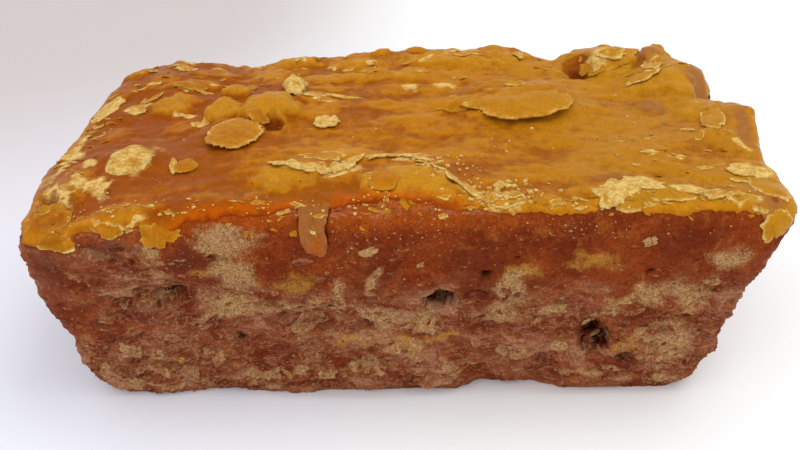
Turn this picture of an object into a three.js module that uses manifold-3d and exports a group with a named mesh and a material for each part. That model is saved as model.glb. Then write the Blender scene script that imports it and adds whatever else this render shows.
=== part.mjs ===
// A jaggery block: one kilogram of unrefined cane sugar, cast in a tapered loaf mould and
// stood with its wide, open face up. The sides are rough and pitted where they met the mould.
// The top set as a smooth skin with lumps along its rim and flakes that lifted and stuck again.
// Units are millimetres. X runs along the loaf, -Y is the front and Z is up. The origin is on
// the flat base, under the middle of the loaf.

import * as THREE from "three";
import { ImprovedNoise } from "three/addons/math/ImprovedNoise.js";
import { mergeVertices } from "three/addons/utils/BufferGeometryUtils.js";
import Module from "manifold-3d";

// Driving dimensions
const HEIGHT = 54; // base to the level of the top skin
const EDGE_POWER = 24; // how square the loaf's edges are: higher is sharper
const BASE_SINK = 0.5; // how much of the rounded base is cut off flat
const GRID = { along: 38, across: 20, up: 12 }; // cells of the loaf's skin

// Distance of each side from the origin, as [share of the height, distance]
const LEFT_END = [[0, 78.5], [0.12, 81.5], [0.3, 83], [0.55, 86], [0.75, 88], [0.92, 87.5], [1, 86]];
const RIGHT_END = [[0, 72], [0.17, 75], [0.3, 77.5], [0.55, 81], [0.75, 83.5], [0.93, 86], [1, 86]];
const FRONT = [[0, 40], [0.2, 40.5], [0.6, 41], [0.93, 41.5], [1, 41]];
const BACK = [[0, 43], [0.5, 48.5], [0.93, 52.5], [1, 52]];
const LEFT_BULGE = 3.5; // how far the ends swell between their corners, at the top
const RIGHT_BULGE = 1.5;

// Lumps and dents: place, reach along each axis, and how far the middle is pushed
const LUMPS = [
  { at: [6, 50, 54], reach: [30, 9, 7], push: [0, 1.2, 3] }, // long hump on the back rim
  { at: [-50, 48, 54], reach: [9, 7, 6], push: [0, -1, -1.2] }, // saddle beside it
  { at: [-68, 44, 54], reach: [12, 9, 7], push: [0, 0, 0.8] },
  { at: [32, 51, 54], reach: [6, 5, 6], push: [0, 1, 1.8] }, // knob
  { at: [43, 48, 54], reach: [4.5, 7, 6], push: [0, -2, -2.6] }, // dip between two lumps
  { at: [58, 48, 54], reach: [11, 6, 6], push: [0, 1.5, 2.4] }, // raised lump under a flap
  { at: [52, 37, 54], reach: [6, 4.5, 5], push: [0, 0, -2.2] }, // hollow in front of it
  { at: [69.5, 52, 54], reach: [3.5, 6, 8], push: [0, -3, -3] }, // notch
  { at: [74.5, 48, 54], reach: [5, 6, 6], push: [1.5, 1, 3] }, // back right corner knob
  { at: [87, 51, 50], reach: [8, 12, 30], push: [-8, -2, -1.5] }, // back right corner is worn off
  { at: [-86, 52, 50], reach: [9, 10, 30], push: [4, -3, -1] }, // and so is the back left one
  { at: [76, 29, 54], reach: [8, 9, 7], push: [1, 0, 3.2] }, // rolled lobe
  { at: [86, 18, 52], reach: [6, 5, 14], push: [-8, 0, -5] }, // notch between the lobes
  { at: [85, 2, 53], reach: [7, 11, 9], push: [3, 0, 3.6] }, // rolled lobe
  { at: [84, -33, 50], reach: [8, 11, 9], push: [2.2, -0.5, 0] }, // front right corner
  { at: [-80, -40, 54], reach: [15, 12, 9], push: [0, 0, -3.5] }, // front left corner droops
  { at: [-85, 0, 54], reach: [9, 34, 7], push: [0, 0, -1.6] }, // left end runs down
  { at: [-33, 14, 54], reach: [12, 10, 6], push: [0, 0, 1.8] }, // swelling behind the round flake
  { at: [29, 15, 54], reach: [17, 10, 6], push: [0, 0, 1.2] }, // swelling under the long flake
  { at: [5, -24, 54], reach: [16, 7, 6], push: [0, 0, 1.3] }, // swelling behind the front rim
  { at: [-57, -41, 32], reach: [11, 6, 4.5], push: [0, 4.2, 0] }, // hollow under a ledge
  { at: [-60, -41, 38], reach: [13, 6, 3.5], push: [0, -1.4, 0] }, // the ledge
  { at: [-20, -41, 25], reach: [8, 5, 3.5], push: [0, 2.4, 0] }, // shallow hollow
  { at: [-72, -40, 25], reach: [8, 8, 7], push: [-1, -1.5, 0] }, // swollen lower corner
  { at: [-80, -38, 17], reach: [7, 8, 4.5], push: [1.6, 0.5, 0] }, // step in the left corner
  { at: [45, -40, 20], reach: [9, 6, 8], push: [0, 2.4, 0] }, // sunk round the large pit
  { at: [20, -41, 0], reach: [4.5, 6, 5], push: [0, 2, 3] }, // gap under the front edge
  { at: [30.5, -41, 0], reach: [4.5, 6, 4.5], push: [0, 1.6, 2.4] }, // second gap
  { at: [75, -36, 15], reach: [6, 8, 4], push: [-1.6, 0, 0] }, // step in the right corner
  { at: [30, 49, 20], reach: [14, 7, 8], push: [0, -2.6, 0] }, // hollow in the back
  { at: [-48, 48, 34], reach: [12, 7, 6], push: [0, -2.2, 0] },
  { at: [-82, 12, 22], reach: [7, 12, 7], push: [2.6, 0, 0] }, // hollow in the left end
  { at: [78, 20, 24], reach: [7, 11, 6], push: [-2.4, 0, 0] }, // hollow in the right end
];

// Relief of the skin: wavelength along each axis and height of each layer of waves
const TOP_RELIEF = [
  { wave: [34, 20, 40], height: 1.5 },
  { wave: [13, 8, 20], height: 0.9 },
];
const SIDE_RELIEF = [
  { wave: [26, 26, 17], height: 2 },
  { wave: [15, 15, 7.5], height: 2.1 },
  { wave: [9, 9, 6], height: 1.6 },
];
const QUIET_BAND = 0.55; // the upper part of the sides, from this share of the height, is smoother
const QUIET_SHARE = 0.45; // relief left there
const FOOT = 9; // the relief fades out over this height, down to the base's edge
const FOOT_SHARE = 0.35; // relief left at the base's edge

// Flakes on the top: plan place, size, thickness, turn and tilt in degrees, sides
const TOP_FLAKES = [
  { at: [28.5, 14], size: [33, 18], thick: 2.2, turn: -3, tilt: 7, lift: 1.5, sides: 20 }, // long flake
  { at: [11.5, 15], size: [14, 6], thick: 1.4, turn: 8, tilt: 4, lift: 0.3, sides: 10 }, // its tail
  { at: [-43, -1.5], size: [17, 15], thick: 1.7, turn: 5, tilt: 8, lift: 1.5, sides: 18 }, // round flake
  { at: [-48.5, 16.5], size: [10, 19], thick: 2.6, turn: -14, tilt: 4, lift: 0.8, sides: 13 }, // drop
  { at: [-36, 12.5], size: [17, 14], thick: 2.4, turn: 10, tilt: 5, lift: 0.8, sides: 14 }, // fold
  { at: [-31, 27.5], size: [7, 6], thick: 4.2, turn: 20, tilt: 0, lift: 1.4, sides: 8 }, // chunk
  { at: [-19.5, 5], size: [6.5, 5], thick: 1.4, turn: 0, tilt: 8, lift: 0.5, sides: 9 },
  { at: [-53.5, -16.5], size: [8, 6], thick: 1.5, turn: 15, tilt: 6, lift: 0.4, sides: 9 },
  { at: [-67, -12], size: [12.5, 10], thick: 1.2, turn: 8, tilt: 0, lift: 0.2, sides: 13 }, // pale spot
  { at: [-80, 17], size: [8, 17], thick: 1.3, turn: 6, tilt: 0, lift: 0.1, sides: 11 },
  { at: [-66, 25], size: [15, 6], thick: 1.3, turn: 8, tilt: 6, lift: 0.4, sides: 10 },
  { at: [-58, 34], size: [17, 5], thick: 1.2, turn: 4, tilt: 6, lift: 0.4, sides: 10 },
  { at: [-20, -21], size: [18, 6], thick: 1.4, turn: -12, tilt: 12, lift: 0.6, sides: 11 }, // curled lip
  { at: [1, -17], size: [17, 5], thick: 1.2, turn: 2, tilt: 8, lift: 0.3, sides: 10 },
  { at: [31.5, 29.5], size: [7, 5], thick: 1.4, turn: 0, tilt: 0, lift: 0.3, sides: 9 },
  { at: [58, 41], size: [22, 9], thick: 1.8, turn: 3, tilt: 12, lift: 2, sides: 13 }, // flap over the hollow
  { at: [66, 27], size: [12, 5], thick: 1.5, turn: 22, tilt: 10, lift: 0.7, sides: 10 },
  { at: [65, 11], size: [8, 6], thick: 2.2, turn: -6, tilt: 3, lift: 0.5, sides: 9 }, // pebble
  { at: [80.5, -1.5], size: [7, 12], thick: 1.4, turn: 10, tilt: 0, lift: 0.4, sides: 10 },
  { at: [79, -24], size: [12, 7], thick: 1.5, turn: -12, tilt: 6, lift: 0.5, sides: 10 },
  { at: [48, -31], size: [15, 8], thick: 1.8, turn: 6, tilt: 6, lift: 0.7, sides: 11 }, // rim crust
  { at: [62, -33], size: [15, 7], thick: 1.6, turn: -5, tilt: 4, lift: 0.4, sides: 11 },
  { at: [74, -37], size: [12, 7], thick: 1.5, turn: -14, tilt: 4, lift: 0.3, sides: 10 },
  { at: [23, -30], size: [3.5, 3], thick: 2, turn: 0, tilt: 0, lift: 0.6, sides: 7 }, // pellet
];

// Tongues and flakes on the front: place as [x, z], size as [width, height]
const FRONT_FLAKES = [
  { at: [-68, 46], size: [23, 7.5], thick: 2.2, turn: 4, tilt: 8, lift: 0.7, sides: 14 }, // hanging lip
  { at: [-57, 46.5], size: [11, 7], thick: 1.8, turn: -10, tilt: 6, lift: 0.5, sides: 10 },
  { at: [-50.5, 48], size: [9, 7], thick: 1.6, turn: -18, tilt: 4, lift: 0.8, sides: 10 }, // drip
  { at: [-17.5, 46.5], size: [7.5, 12], thick: 1.3, turn: 4, tilt: 0, lift: 0.2, sides: 11 }, // tongue
  { at: [25, 49], size: [6, 5], thick: 1.2, turn: 0, tilt: 0, lift: 0.3, sides: 8 },
  { at: [77.5, 44.5], size: [8, 10], thick: 1.6, turn: 8, tilt: 0, lift: 0.5, sides: 10 }, // corner patch
  { at: [-53.5, 7.5], size: [3.5, 9], thick: 1.4, turn: 32, tilt: 10, lift: 0.6, sides: 8 }, // crescent
  { at: [-67, 15.5], size: [7, 2.8], thick: 1.4, turn: -32, tilt: 12, lift: 0.6, sides: 7 },
  { at: [-60, 8.5], size: [8, 2.6], thick: 1.3, turn: -48, tilt: 12, lift: 0.5, sides: 7 },
  { at: [-60.5, 14], size: [3.4, 2.8], thick: 1.6, turn: 0, tilt: 0, lift: 0.5, sides: 6 },
  { at: [-20, 24.5], size: [9, 4], thick: 1.3, turn: 14, tilt: 8, lift: 0.5, sides: 8 },
  { at: [-33, 8], size: [8, 4.5], thick: 1.3, turn: -8, tilt: 8, lift: 0.5, sides: 8 },
  { at: [-10, 8], size: [8, 3], thick: 1.3, turn: -14, tilt: 8, lift: 0.5, sides: 8 },
  { at: [41, 25.5], size: [4.5, 4], thick: 1.8, turn: 20, tilt: 0, lift: 0.7, sides: 7 }, // over the pit
  { at: [51, 16.5], size: [10, 3.6], thick: 1.5, turn: 34, tilt: 10, lift: 0.6, sides: 8 },
  { at: [56, 13], size: [4, 4], thick: 1.5, turn: 0, tilt: 0, lift: 0.5, sides: 7 },
  { at: [61, 3.5], size: [5, 2.8], thick: 1.6, turn: -22, tilt: 0, lift: 0.5, sides: 7 },
  { at: [54, 31], size: [17, 6], thick: 1.1, turn: 12, tilt: 0, lift: 0.1, sides: 10 }, // pale crusts
  { at: [64, 17], size: [10, 11], thick: 1.1, turn: 0, tilt: 0, lift: 0.1, sides: 10 },
];

const SMALL_PIT = 2.45; // a pit under this half-size gets the fewest faces

// Bubbles and pits in the front: place as [x, z], half-sizes as [width, height, depth]
const FRONT_PITS = [
  { at: [9, 31], half: [3.6, 2, 4], turn: 6 },
  { at: [17, 31.7], half: [3.4, 1.5, 2], turn: 0 },
  { at: [19.6, 38.3], half: [1.4, 1.2, 2.4], turn: 0 },
  { at: [44.5, 19.5], half: [3.6, 4, 5], turn: 15 },
  { at: [51, 10.5], half: [5, 1.8, 2.2], turn: 8 },
  { at: [-53.5, 31.5], half: [4, 3.4, 4.5], turn: -20 },
  { at: [-61.5, 33], half: [5, 1.5, 2.6], turn: 0 },
  { at: [-39.2, 18.9], half: [1.9, 1.4, 2], turn: 0 },
  { at: [-8, 23.5], half: [1.6, 1.6, 2.6], turn: 0 },
  { at: [-59.3, 44.5], half: [1.2, 1.1, 1.8], turn: 0 },
  { at: [-41.5, 45.5], half: [1.8, 1.6, 2], turn: 0 },
  { at: [55.8, 37.8], half: [1.3, 1, 2], turn: 0 },
  { at: [65.2, 25.4], half: [1.6, 1.1, 2], turn: 0 },
];

// Pits and chips that the other sides share, scattered by a seeded draw
const SCATTER_SEED = 11;
const SCATTERED_PITS = { perSide: 4, half: [1.2, 3.4], depth: [1.6, 4] };
const SCATTERED_CHIPS = { perSide: 4, size: [3.5, 9], thick: [1.1, 1.9] };
const SIDES_BEYOND = [
  { name: "back", from: [0, 300], run: [1, 0], reach: 66 },
  { name: "left", from: [-300, 4], run: [0, 1], reach: 34 },
  { name: "right", from: [300, 4], run: [0, 1], reach: 34 },
];
const CHIP_SIDES = 7;
const SCATTER_LOW = 6; // heights between which they lie
const SCATTER_HIGH = 46;

const RAGGED = 0.16; // how far a flake's outline wanders, as a share of its size
const CURL = 0.35; // how far a flake's rim bends down, as a share of its thickness
const DEGREE = Math.PI / 180;

const wasm = await Module();
wasm.setup();
const perlin = new ImprovedNoise();

// A repeatable stream of numbers from 0 to 1
function seeded(seed) {
  let state = seed;
  return () => {
    state = (state + 0x6d2b79f5) | 0;
    let t = Math.imul(state ^ (state >>> 15), 1 | state);
    t = (t + Math.imul(t ^ (t >>> 7), 61 | t)) ^ t;
    return ((t ^ (t >>> 14)) >>> 0) / 4294967296;
  };
}

function between([low, high], share) {
  return low + (high - low) * share;
}

// Reads a profile of [share, value] pairs, eased between its points
function readProfile(points, share) {
  const last = points.length - 1;
  const next = points.findIndex(([s]) => s >= share);
  if (next === 0) return points[0][1];
  if (next < 0) return points[last][1];
  const [s0, v0] = points[next - 1];
  const [s1, v1] = points[next];
  return v0 + (v1 - v0) * THREE.MathUtils.smoothstep(share, s0, s1);
}

function waves(layers, p, offset) {
  return layers.reduce(
    (sum, { wave, height }, i) =>
      sum +
      height * perlin.noise(p.x / wave[0] + offset + 3.7 * i, p.y / wave[1] + 9.1, p.z / wave[2] + 5.3),
    0,
  );
}

// A closed mesh with only its positions, whose shared vertices are merged
function mergedPositions(geometry) {
  geometry.deleteAttribute("normal");
  geometry.deleteAttribute("uv");
  return mergeVertices(geometry, 1e-4);
}

function solidFrom(geometry) {
  const merged = mergedPositions(geometry);
  return new wasm.Manifold(
    new wasm.Mesh({
      numProp: 3,
      vertProperties: merged.attributes.position.array,
      triVerts: new Uint32Array(merged.index.array),
    }),
  );
}

function geometryFrom(solid) {
  const { numProp, numVert, vertProperties, triVerts } = solid.getMesh();
  const positions = new Float32Array(numVert * 3);
  for (let i = 0; i < numVert; i++) {
    positions.set(vertProperties.subarray(i * numProp, i * numProp + 3), i * 3);
  }
  const geometry = new THREE.BufferGeometry();
  geometry.setAttribute("position", new THREE.BufferAttribute(positions, 3));
  geometry.setIndex(new THREE.BufferAttribute(triVerts, 1));
  return geometry;
}

// Bends a point of the cube from -1 to 1 into the tapered loaf with soft edges
function loafPoint(cube) {
  const norm = (["x", "y", "z"].reduce((s, k) => s + Math.abs(cube[k]) ** EDGE_POWER, 0)) ** (1 / EDGE_POWER);
  const q = cube.clone().divideScalar(norm);
  const share = (q.z + 1) / 2;
  const left = readProfile(LEFT_END, share) + LEFT_BULGE * share * (1 - q.y * q.y);
  const right = readProfile(RIGHT_END, share) + RIGHT_BULGE * share * (1 - q.y * q.y);
  const x = q.x > 0 ? q.x * right : q.x * left;
  const y = q.y > 0 ? q.y * readProfile(BACK, share) : q.y * readProfile(FRONT, share);
  return new THREE.Vector3(x, y, share * (HEIGHT + BASE_SINK) - BASE_SINK);
}

// Adds the named lumps and dents to a point
function lumped(p) {
  const moved = p.clone();
  for (const { at, reach, push } of LUMPS) {
    const d2 = [p.x, p.y, p.z].reduce((s, v, i) => s + ((v - at[i]) / reach[i]) ** 2, 0);
    moved.addScaledVector(new THREE.Vector3(...push), Math.exp(-d2));
  }
  return moved;
}

// The loaf itself: a gridded box bent to the form, with waves of relief along its normals
function loafGeometry() {
  const { along, across, up } = GRID;
  const geometry = mergedPositions(new THREE.BoxGeometry(2, 2, 2, along, across, up));
  const position = geometry.attributes.position;
  const onBase = [];
  for (let i = 0; i < position.count; i++) {
    const cube = new THREE.Vector3().fromBufferAttribute(position, i);
    const p = lumped(loafPoint(cube));
    onBase.push(cube.z < -0.999);
    position.setXYZ(i, p.x, p.y, p.z);
  }
  geometry.computeVertexNormals();
  const normal = geometry.attributes.normal;
  for (let i = 0; i < position.count; i++) {
    const p = new THREE.Vector3().fromBufferAttribute(position, i);
    const n = new THREE.Vector3().fromBufferAttribute(normal, i);
    const topness = THREE.MathUtils.smoothstep(n.z, 0.35, 0.85);
    const quiet = THREE.MathUtils.smoothstep(p.z / HEIGHT, QUIET_BAND - 0.15, QUIET_BAND + 0.15);
    const foot = 1 - (1 - FOOT_SHARE) * THREE.MathUtils.smoothstep(-p.z, -FOOT, 0);
    const side = waves(SIDE_RELIEF, p, 0) * (1 - (1 - QUIET_SHARE) * quiet) * foot;
    const relief = topness * waves(TOP_RELIEF, p, 40) + (1 - topness) * side;
    p.addScaledVector(n, onBase[i] && n.z < -0.9 ? 0 : relief);
    position.setXYZ(i, p.x, p.y, Math.max(0, p.z));
  }
  geometry.deleteAttribute("normal");
  return geometry;
}

// Where a straight line from far outside first meets the loaf
function landing(body, origin, direction) {
  const ray = new THREE.Raycaster(new THREE.Vector3(...origin), new THREE.Vector3(...direction));
  const [hit] = ray.intersectObject(body);
  return { point: hit.point, normal: hit.face.normal.clone() };
}

const onTop = (body, [x, y]) => landing(body, [x, y, 300], [0, 0, -1]);
const onFront = (body, [x, z]) => landing(body, [x, -300, z], [0, 1, 0]);

// Turns a piece so that its own Z follows the way out of the surface, then sets it there
function setDown(geometry, spot, lean, outward, turn, tilt, lift) {
  const out = spot.normal.clone().lerp(new THREE.Vector3(...outward), lean).normalize();
  const level = new THREE.Vector3(...(Math.abs(outward[0]) > 0.5 ? [0, 1, 0] : [1, 0, 0]));
  const side = level.addScaledVector(out, -level.dot(out)).normalize();
  const basis = new THREE.Matrix4().makeBasis(side, out.clone().cross(side), out);
  geometry.rotateX(tilt * DEGREE);
  geometry.rotateZ(turn * DEGREE);
  geometry.applyMatrix4(basis);
  geometry.translate(...spot.point.clone().addScaledVector(out, lift).toArray());
  return geometry;
}

// A thin plate with a ragged outline and a rim that bends down a little
function flakeGeometry({ size, thick, sides }, seed) {
  const geometry = new THREE.CylinderGeometry(1, 1, thick, sides, 1);
  geometry.rotateX(Math.PI / 2);
  const merged = mergedPositions(geometry);
  const position = merged.attributes.position;
  for (let i = 0; i < position.count; i++) {
    const p = new THREE.Vector3().fromBufferAttribute(position, i);
    const rim = Math.hypot(p.x, p.y);
    const wander = 1 + RAGGED * rim * 2 * perlin.noise(p.x * 2.1 + seed, p.y * 2.1, seed * 0.7);
    position.setXYZ(
      i,
      (p.x * wander * size[0]) / 2,
      (p.y * wander * size[1]) / 2,
      p.z * (1 - 0.45 * rim) - CURL * thick * rim,
    );
  }
  return merged;
}

// A bubble or pit: a squashed ball with an uneven wall
function pitGeometry({ half }, seed) {
  const detail = Math.max(...half) > SMALL_PIT ? 1 : 0;
  const ball = mergedPositions(new THREE.IcosahedronGeometry(1, detail));
  const position = ball.attributes.position;
  for (let i = 0; i < position.count; i++) {
    const p = new THREE.Vector3().fromBufferAttribute(position, i);
    p.multiplyScalar(1 + 0.35 * perlin.noise(p.x * 1.4 + seed, p.y * 1.4, p.z * 1.4));
    position.setXYZ(i, p.x * half[0], p.y * half[1], p.z * half[2]);
  }
  return ball;
}

// Flakes of the top and front, and chips on the other sides, each as a solid
function flakeSolids(body) {
  const made = TOP_FLAKES.map((flake, i) => {
    const spot = onTop(body, flake.at);
    return setDown(flakeGeometry(flake, i + 1), spot, 0.5, [0, 0, 1], flake.turn, flake.tilt, flake.lift);
  });
  FRONT_FLAKES.forEach((flake, i) => {
    const spot = onFront(body, flake.at);
    made.push(
      setDown(flakeGeometry(flake, i + 51), spot, 0.5, [0, -1, 0], flake.turn, flake.tilt, flake.lift),
    );
  });
  return made.map(solidFrom);
}

function pitSolids(body) {
  return FRONT_PITS.map((pit, i) => {
    const spot = onFront(body, pit.at);
    return solidFrom(setDown(pitGeometry(pit, i + 1), spot, 0.8, [0, -1, 0], pit.turn, 0, 0));
  });
}

// The back and the ends: a seeded scatter of pits to cut and chips to join
function scatteredOn(body, side, draw) {
  const outward = [Math.sign(side.from[0]), Math.sign(side.from[1]) * (side.from[0] ? 0 : 1), 0];
  const spotAt = () => {
    const shift = side.reach * (2 * draw() - 1);
    const z = between([SCATTER_LOW, SCATTER_HIGH], draw());
    const origin = [side.from[0] + side.run[0] * shift, side.from[1] + side.run[1] * shift, z];
    return landing(body, origin, outward.map((v) => -v));
  };
  const pits = Array.from({ length: SCATTERED_PITS.perSide }, (_, i) => {
    const half = [
      between(SCATTERED_PITS.half, draw()),
      between(SCATTERED_PITS.half, draw()) * 0.7,
      between(SCATTERED_PITS.depth, draw()),
    ];
    return solidFrom(setDown(pitGeometry({ half }, i + draw() * 20), spotAt(), 0.8, outward, 0, 0, 0));
  });
  const chips = Array.from({ length: SCATTERED_CHIPS.perSide }, (_, i) => {
    const width = between(SCATTERED_CHIPS.size, draw());
    const chip = {
      size: [width, width * between([0.35, 0.7], draw())],
      thick: between(SCATTERED_CHIPS.thick, draw()),
      sides: CHIP_SIDES,
    };
    const turn = between([-40, 40], draw());
    return solidFrom(setDown(flakeGeometry(chip, i + 90), spotAt(), 0.4, outward, turn, 8, 0.4));
  });
  return { pits, chips };
}

// The largest body of a solid: drops loose scraps and the walls of sealed hollows
function largestBody(solid) {
  return solid.decompose().sort((a, b) => b.volume() - a.volume())[0];
}

function jaggeryBlock() {
  const loaf = loafGeometry();
  const body = new THREE.Mesh(loaf);
  const draw = seeded(SCATTER_SEED);
  const scattered = SIDES_BEYOND.map((side) => scatteredOn(body, side, draw));
  const cuts = [...pitSolids(body), ...scattered.flatMap((s) => s.pits)];
  const joins = [...flakeSolids(body), ...scattered.flatMap((s) => s.chips)];
  const hollowed = cuts.reduce((solid, pit) => solid.subtract(pit), solidFrom(loaf));
  const block = joins.reduce((solid, flake) => solid.add(flake), hollowed);
  const mesh = new THREE.Mesh(
    geometryFrom(largestBody(block)),
    new THREE.MeshStandardMaterial({ color: 0x9c571e, roughness: 0.55, metalness: 0 }),
  );
  mesh.name = "jaggery_block";
  return mesh;
}

const part = new THREE.Group();
part.add(jaggeryBlock());

export default part;
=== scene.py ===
# %% [markdown]
# # A block of jaggery
# Jaggery is cane juice boiled down until it sets. This loaf was cast in a tapered mould,
# so its sides are rough, pitted and red-brown, and its open top set as a smooth amber skin.
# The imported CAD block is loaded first, because every piece made here takes its form from it.

import math
import random

import bmesh
import bpy
from mathutils import Matrix, Vector, noise
from mathutils.bvhtree import BVHTree


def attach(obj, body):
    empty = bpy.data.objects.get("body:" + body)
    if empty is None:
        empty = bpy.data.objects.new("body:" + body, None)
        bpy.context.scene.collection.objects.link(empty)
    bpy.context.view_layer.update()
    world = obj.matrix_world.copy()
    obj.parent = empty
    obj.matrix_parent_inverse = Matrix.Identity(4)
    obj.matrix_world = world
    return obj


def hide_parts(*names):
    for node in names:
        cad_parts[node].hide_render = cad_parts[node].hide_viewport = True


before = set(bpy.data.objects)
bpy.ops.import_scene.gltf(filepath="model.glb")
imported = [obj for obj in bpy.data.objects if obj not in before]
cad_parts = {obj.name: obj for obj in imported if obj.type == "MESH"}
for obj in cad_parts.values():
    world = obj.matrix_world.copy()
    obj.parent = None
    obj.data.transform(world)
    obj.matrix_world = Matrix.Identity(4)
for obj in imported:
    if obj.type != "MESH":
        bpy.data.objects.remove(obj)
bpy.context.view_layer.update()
MM = 0.001

# %% [markdown]
# ## The camera
# The picture was taken from a little above the front. A camera could be turned by eye until it
# looks right. Here its place and turn were worked out from the corners of the block, and its
# lens from the focal length that fitted them best, so the render lies over the picture.

# %% Camera
IMAGE_WIDTH = 800
FOCAL_PIXELS = 850
SENSOR_MM = 36
CAMERA_PLACE = Vector((9.0, -197.2, 151.1)) * MM
LOOK_DOWN = math.radians(32.5)
ROLL = math.radians(-2.77)
YAW = math.radians(-3.08)

camera_data = bpy.data.cameras.new("camera")
camera_data.sensor_width = SENSOR_MM
camera_data.lens = SENSOR_MM * FOCAL_PIXELS / IMAGE_WIDTH
camera_data.clip_start = 0.01
camera = bpy.data.objects.new("camera", camera_data)
aim = Matrix.Rotation(-YAW, 4, "Z") @ Matrix.Rotation(math.pi / 2 - LOOK_DOWN, 4, "X")
camera.matrix_world = Matrix.Translation(CAMERA_PLACE) @ aim @ Matrix.Rotation(ROLL, 4, "Z")
bpy.context.collection.objects.link(camera)
bpy.context.scene.camera = camera
print("lens", round(camera_data.lens, 2), "mm")

# %% [markdown]
# ## Building finishes
# Every finish is a small tree of nodes, which could be written out node by node. This helper
# adds the nodes and joins them up, so that the cells for each finish read as a list of what is
# mixed with what. Patterns are measured in millimetres of the block, from Object coordinates,
# so they stay on it.

# %% A helper that builds a finish
class Finish:
    """One material under construction. Its methods add nodes and return their outputs."""

    def __init__(self, name):
        self.material = bpy.data.materials.new(name)
        self.material.use_nodes = True
        self.tree = self.material.node_tree
        self.shader = self.tree.nodes["Principled BSDF"]
        self.place = self.tree.nodes.new("ShaderNodeTexCoord").outputs["Object"]

    def node(self, kind, output=0, settings=(), **inputs):
        """Adds any node. An input goes by its name, or by its number as i0, i1 and so on."""
        made = self.tree.nodes.new(kind)
        for key, value in dict(settings).items():
            setattr(made, key, value)
        for key, value in inputs.items():
            numbered = key[0] == "i" and key[1:].isdigit()
            self.feed(made.inputs[int(key[1:]) if numbered else key], value)
        return made.outputs[output]

    def feed(self, socket, value):
        """Links an output to an input, or sets the input to a value."""
        if isinstance(value, bpy.types.NodeSocket):
            self.tree.links.new(value, socket)
        elif socket.type == "RGBA":
            socket.default_value = (*value, 1.0)
        else:
            socket.default_value = value

    def along(self, axis):
        """How far a point is along X, Y or Z, in metres."""
        return self.node("ShaderNodeSeparateXYZ", "XYZ".index(axis), Vector=self.place)

    def placed(self, stretch=(1, 1, 1), shift=(0, 0, 0)):
        return self.node("ShaderNodeMapping", i0=self.place, Scale=stretch, Location=shift)

    def noise(self, size, detail=3.0, rough=0.55, stretch=(1, 1, 1), shift=0.0, warp=0.0):
        """Cloudy noise from 0 to 1 whose lumps are about size millimetres."""
        made = self.tree.nodes.new("ShaderNodeTexNoise")
        self.feed(made.inputs["Vector"], self.placed(stretch, (shift, shift * 0.7, shift * 1.3)))
        self.feed(made.inputs["Scale"], 1 / (size * MM))
        self.feed(made.inputs["Detail"], detail)
        self.feed(made.inputs["Roughness"], rough)
        self.feed(made.inputs["Distortion"], warp)
        return made.outputs["Fac"]

    def cells(self, size, shift=0.0):
        """How far a point is from the nearest of many points strewn size millimetres apart."""
        made = self.tree.nodes.new("ShaderNodeTexVoronoi")
        made.feature = "F1"
        self.feed(made.inputs["Vector"], self.placed(shift=(shift, shift, shift)))
        self.feed(made.inputs["Scale"], 1 / (size * MM))
        return made.outputs["Distance"]

    def mask(self, name):
        """A value painted on the mesh's vertices."""
        return self.node("ShaderNodeAttribute", "Fac", {"attribute_name": name})

    def sum(self, *terms):
        total = terms[0]
        for term in terms[1:]:
            total = self.node("ShaderNodeMath", 0, {"operation": "ADD"}, i0=total, i1=term)
        return total

    def times(self, a, b):
        return self.node("ShaderNodeMath", 0, {"operation": "MULTIPLY"}, i0=a, i1=b)

    def size_of(self, value):
        """The value without its sign."""
        return self.node("ShaderNodeMath", 0, {"operation": "ABSOLUTE"}, i0=value)

    def band(self, value, low, high, bottom=0.0, top=1.0):
        """Runs smoothly from bottom to top as value goes from low to high."""
        made = self.tree.nodes.new("ShaderNodeMapRange")
        made.interpolation_type = "SMOOTHSTEP"
        given = {"Value": value, "From Min": low, "From Max": high, "To Min": bottom, "To Max": top}
        for key, amount in given.items():
            self.feed(made.inputs[key], amount)
        return made.outputs["Result"]

    def mix(self, share, first, second, blend="MIX"):
        made = self.tree.nodes.new("ShaderNodeMix")
        made.data_type = "RGBA"
        made.blend_type = blend
        self.feed(made.inputs[0], share)
        self.feed(made.inputs[6], first)
        self.feed(made.inputs[7], second)
        return made.outputs[2]

    def bump(self, height, depth, strength=1.0, over=None):
        """Shades height as relief that is depth millimetres deep."""
        made = self.tree.nodes.new("ShaderNodeBump")
        self.feed(made.inputs["Height"], height)
        self.feed(made.inputs["Distance"], depth * MM)
        self.feed(made.inputs["Strength"], strength)
        if over is not None:
            self.feed(made.inputs["Normal"], over)
        return made.outputs["Normal"]

    def set(self, **values):
        for key, value in values.items():
            self.feed(self.shader.inputs[key.replace("_", " ")], value)


print("finish helper ready")

# %% [markdown]
# ## Floor and light
# The block stands on a white sheet in soft daylight. The left of the sheet is greyer than the
# right. Lamps alone could shade it, but lamps this wide and soft hardly do, so the greys are
# painted shade in the sheet's own colour. The world gives the even light of the room, one wide
# lamp on the right is the window, and a weaker one fills the shade in front.

# %% Floor
FLOOR_REACH = 4.0
# Painted shade: these colours make the sheet greyer at the left, most of all far off, and whitest at the
# right.
FLOOR_NEAR = (0.87, 0.89, 1.0)
FLOOR_FAR_SHADE = (0.60, 0.54, 0.54)
FLOOR_RIGHT = (0.96, 0.985, 1.0)
GREY_FROM, GREY_FULL = -0.02, 0.30  # how far away the left side turns grey, in metres
GREY_SLANT = -0.5
RIGHT_FROM, RIGHT_FULL = -0.11, 0.05  # where the left side gives way to the right, in metres

floor_mesh = bmesh.new()
bmesh.ops.create_grid(floor_mesh, x_segments=1, y_segments=1, size=FLOOR_REACH)
floor_data = bpy.data.meshes.new("floor")
floor_mesh.to_mesh(floor_data)
floor_mesh.free()
floor = bpy.data.objects.new("floor", floor_data)
bpy.context.collection.objects.link(floor)

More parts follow.
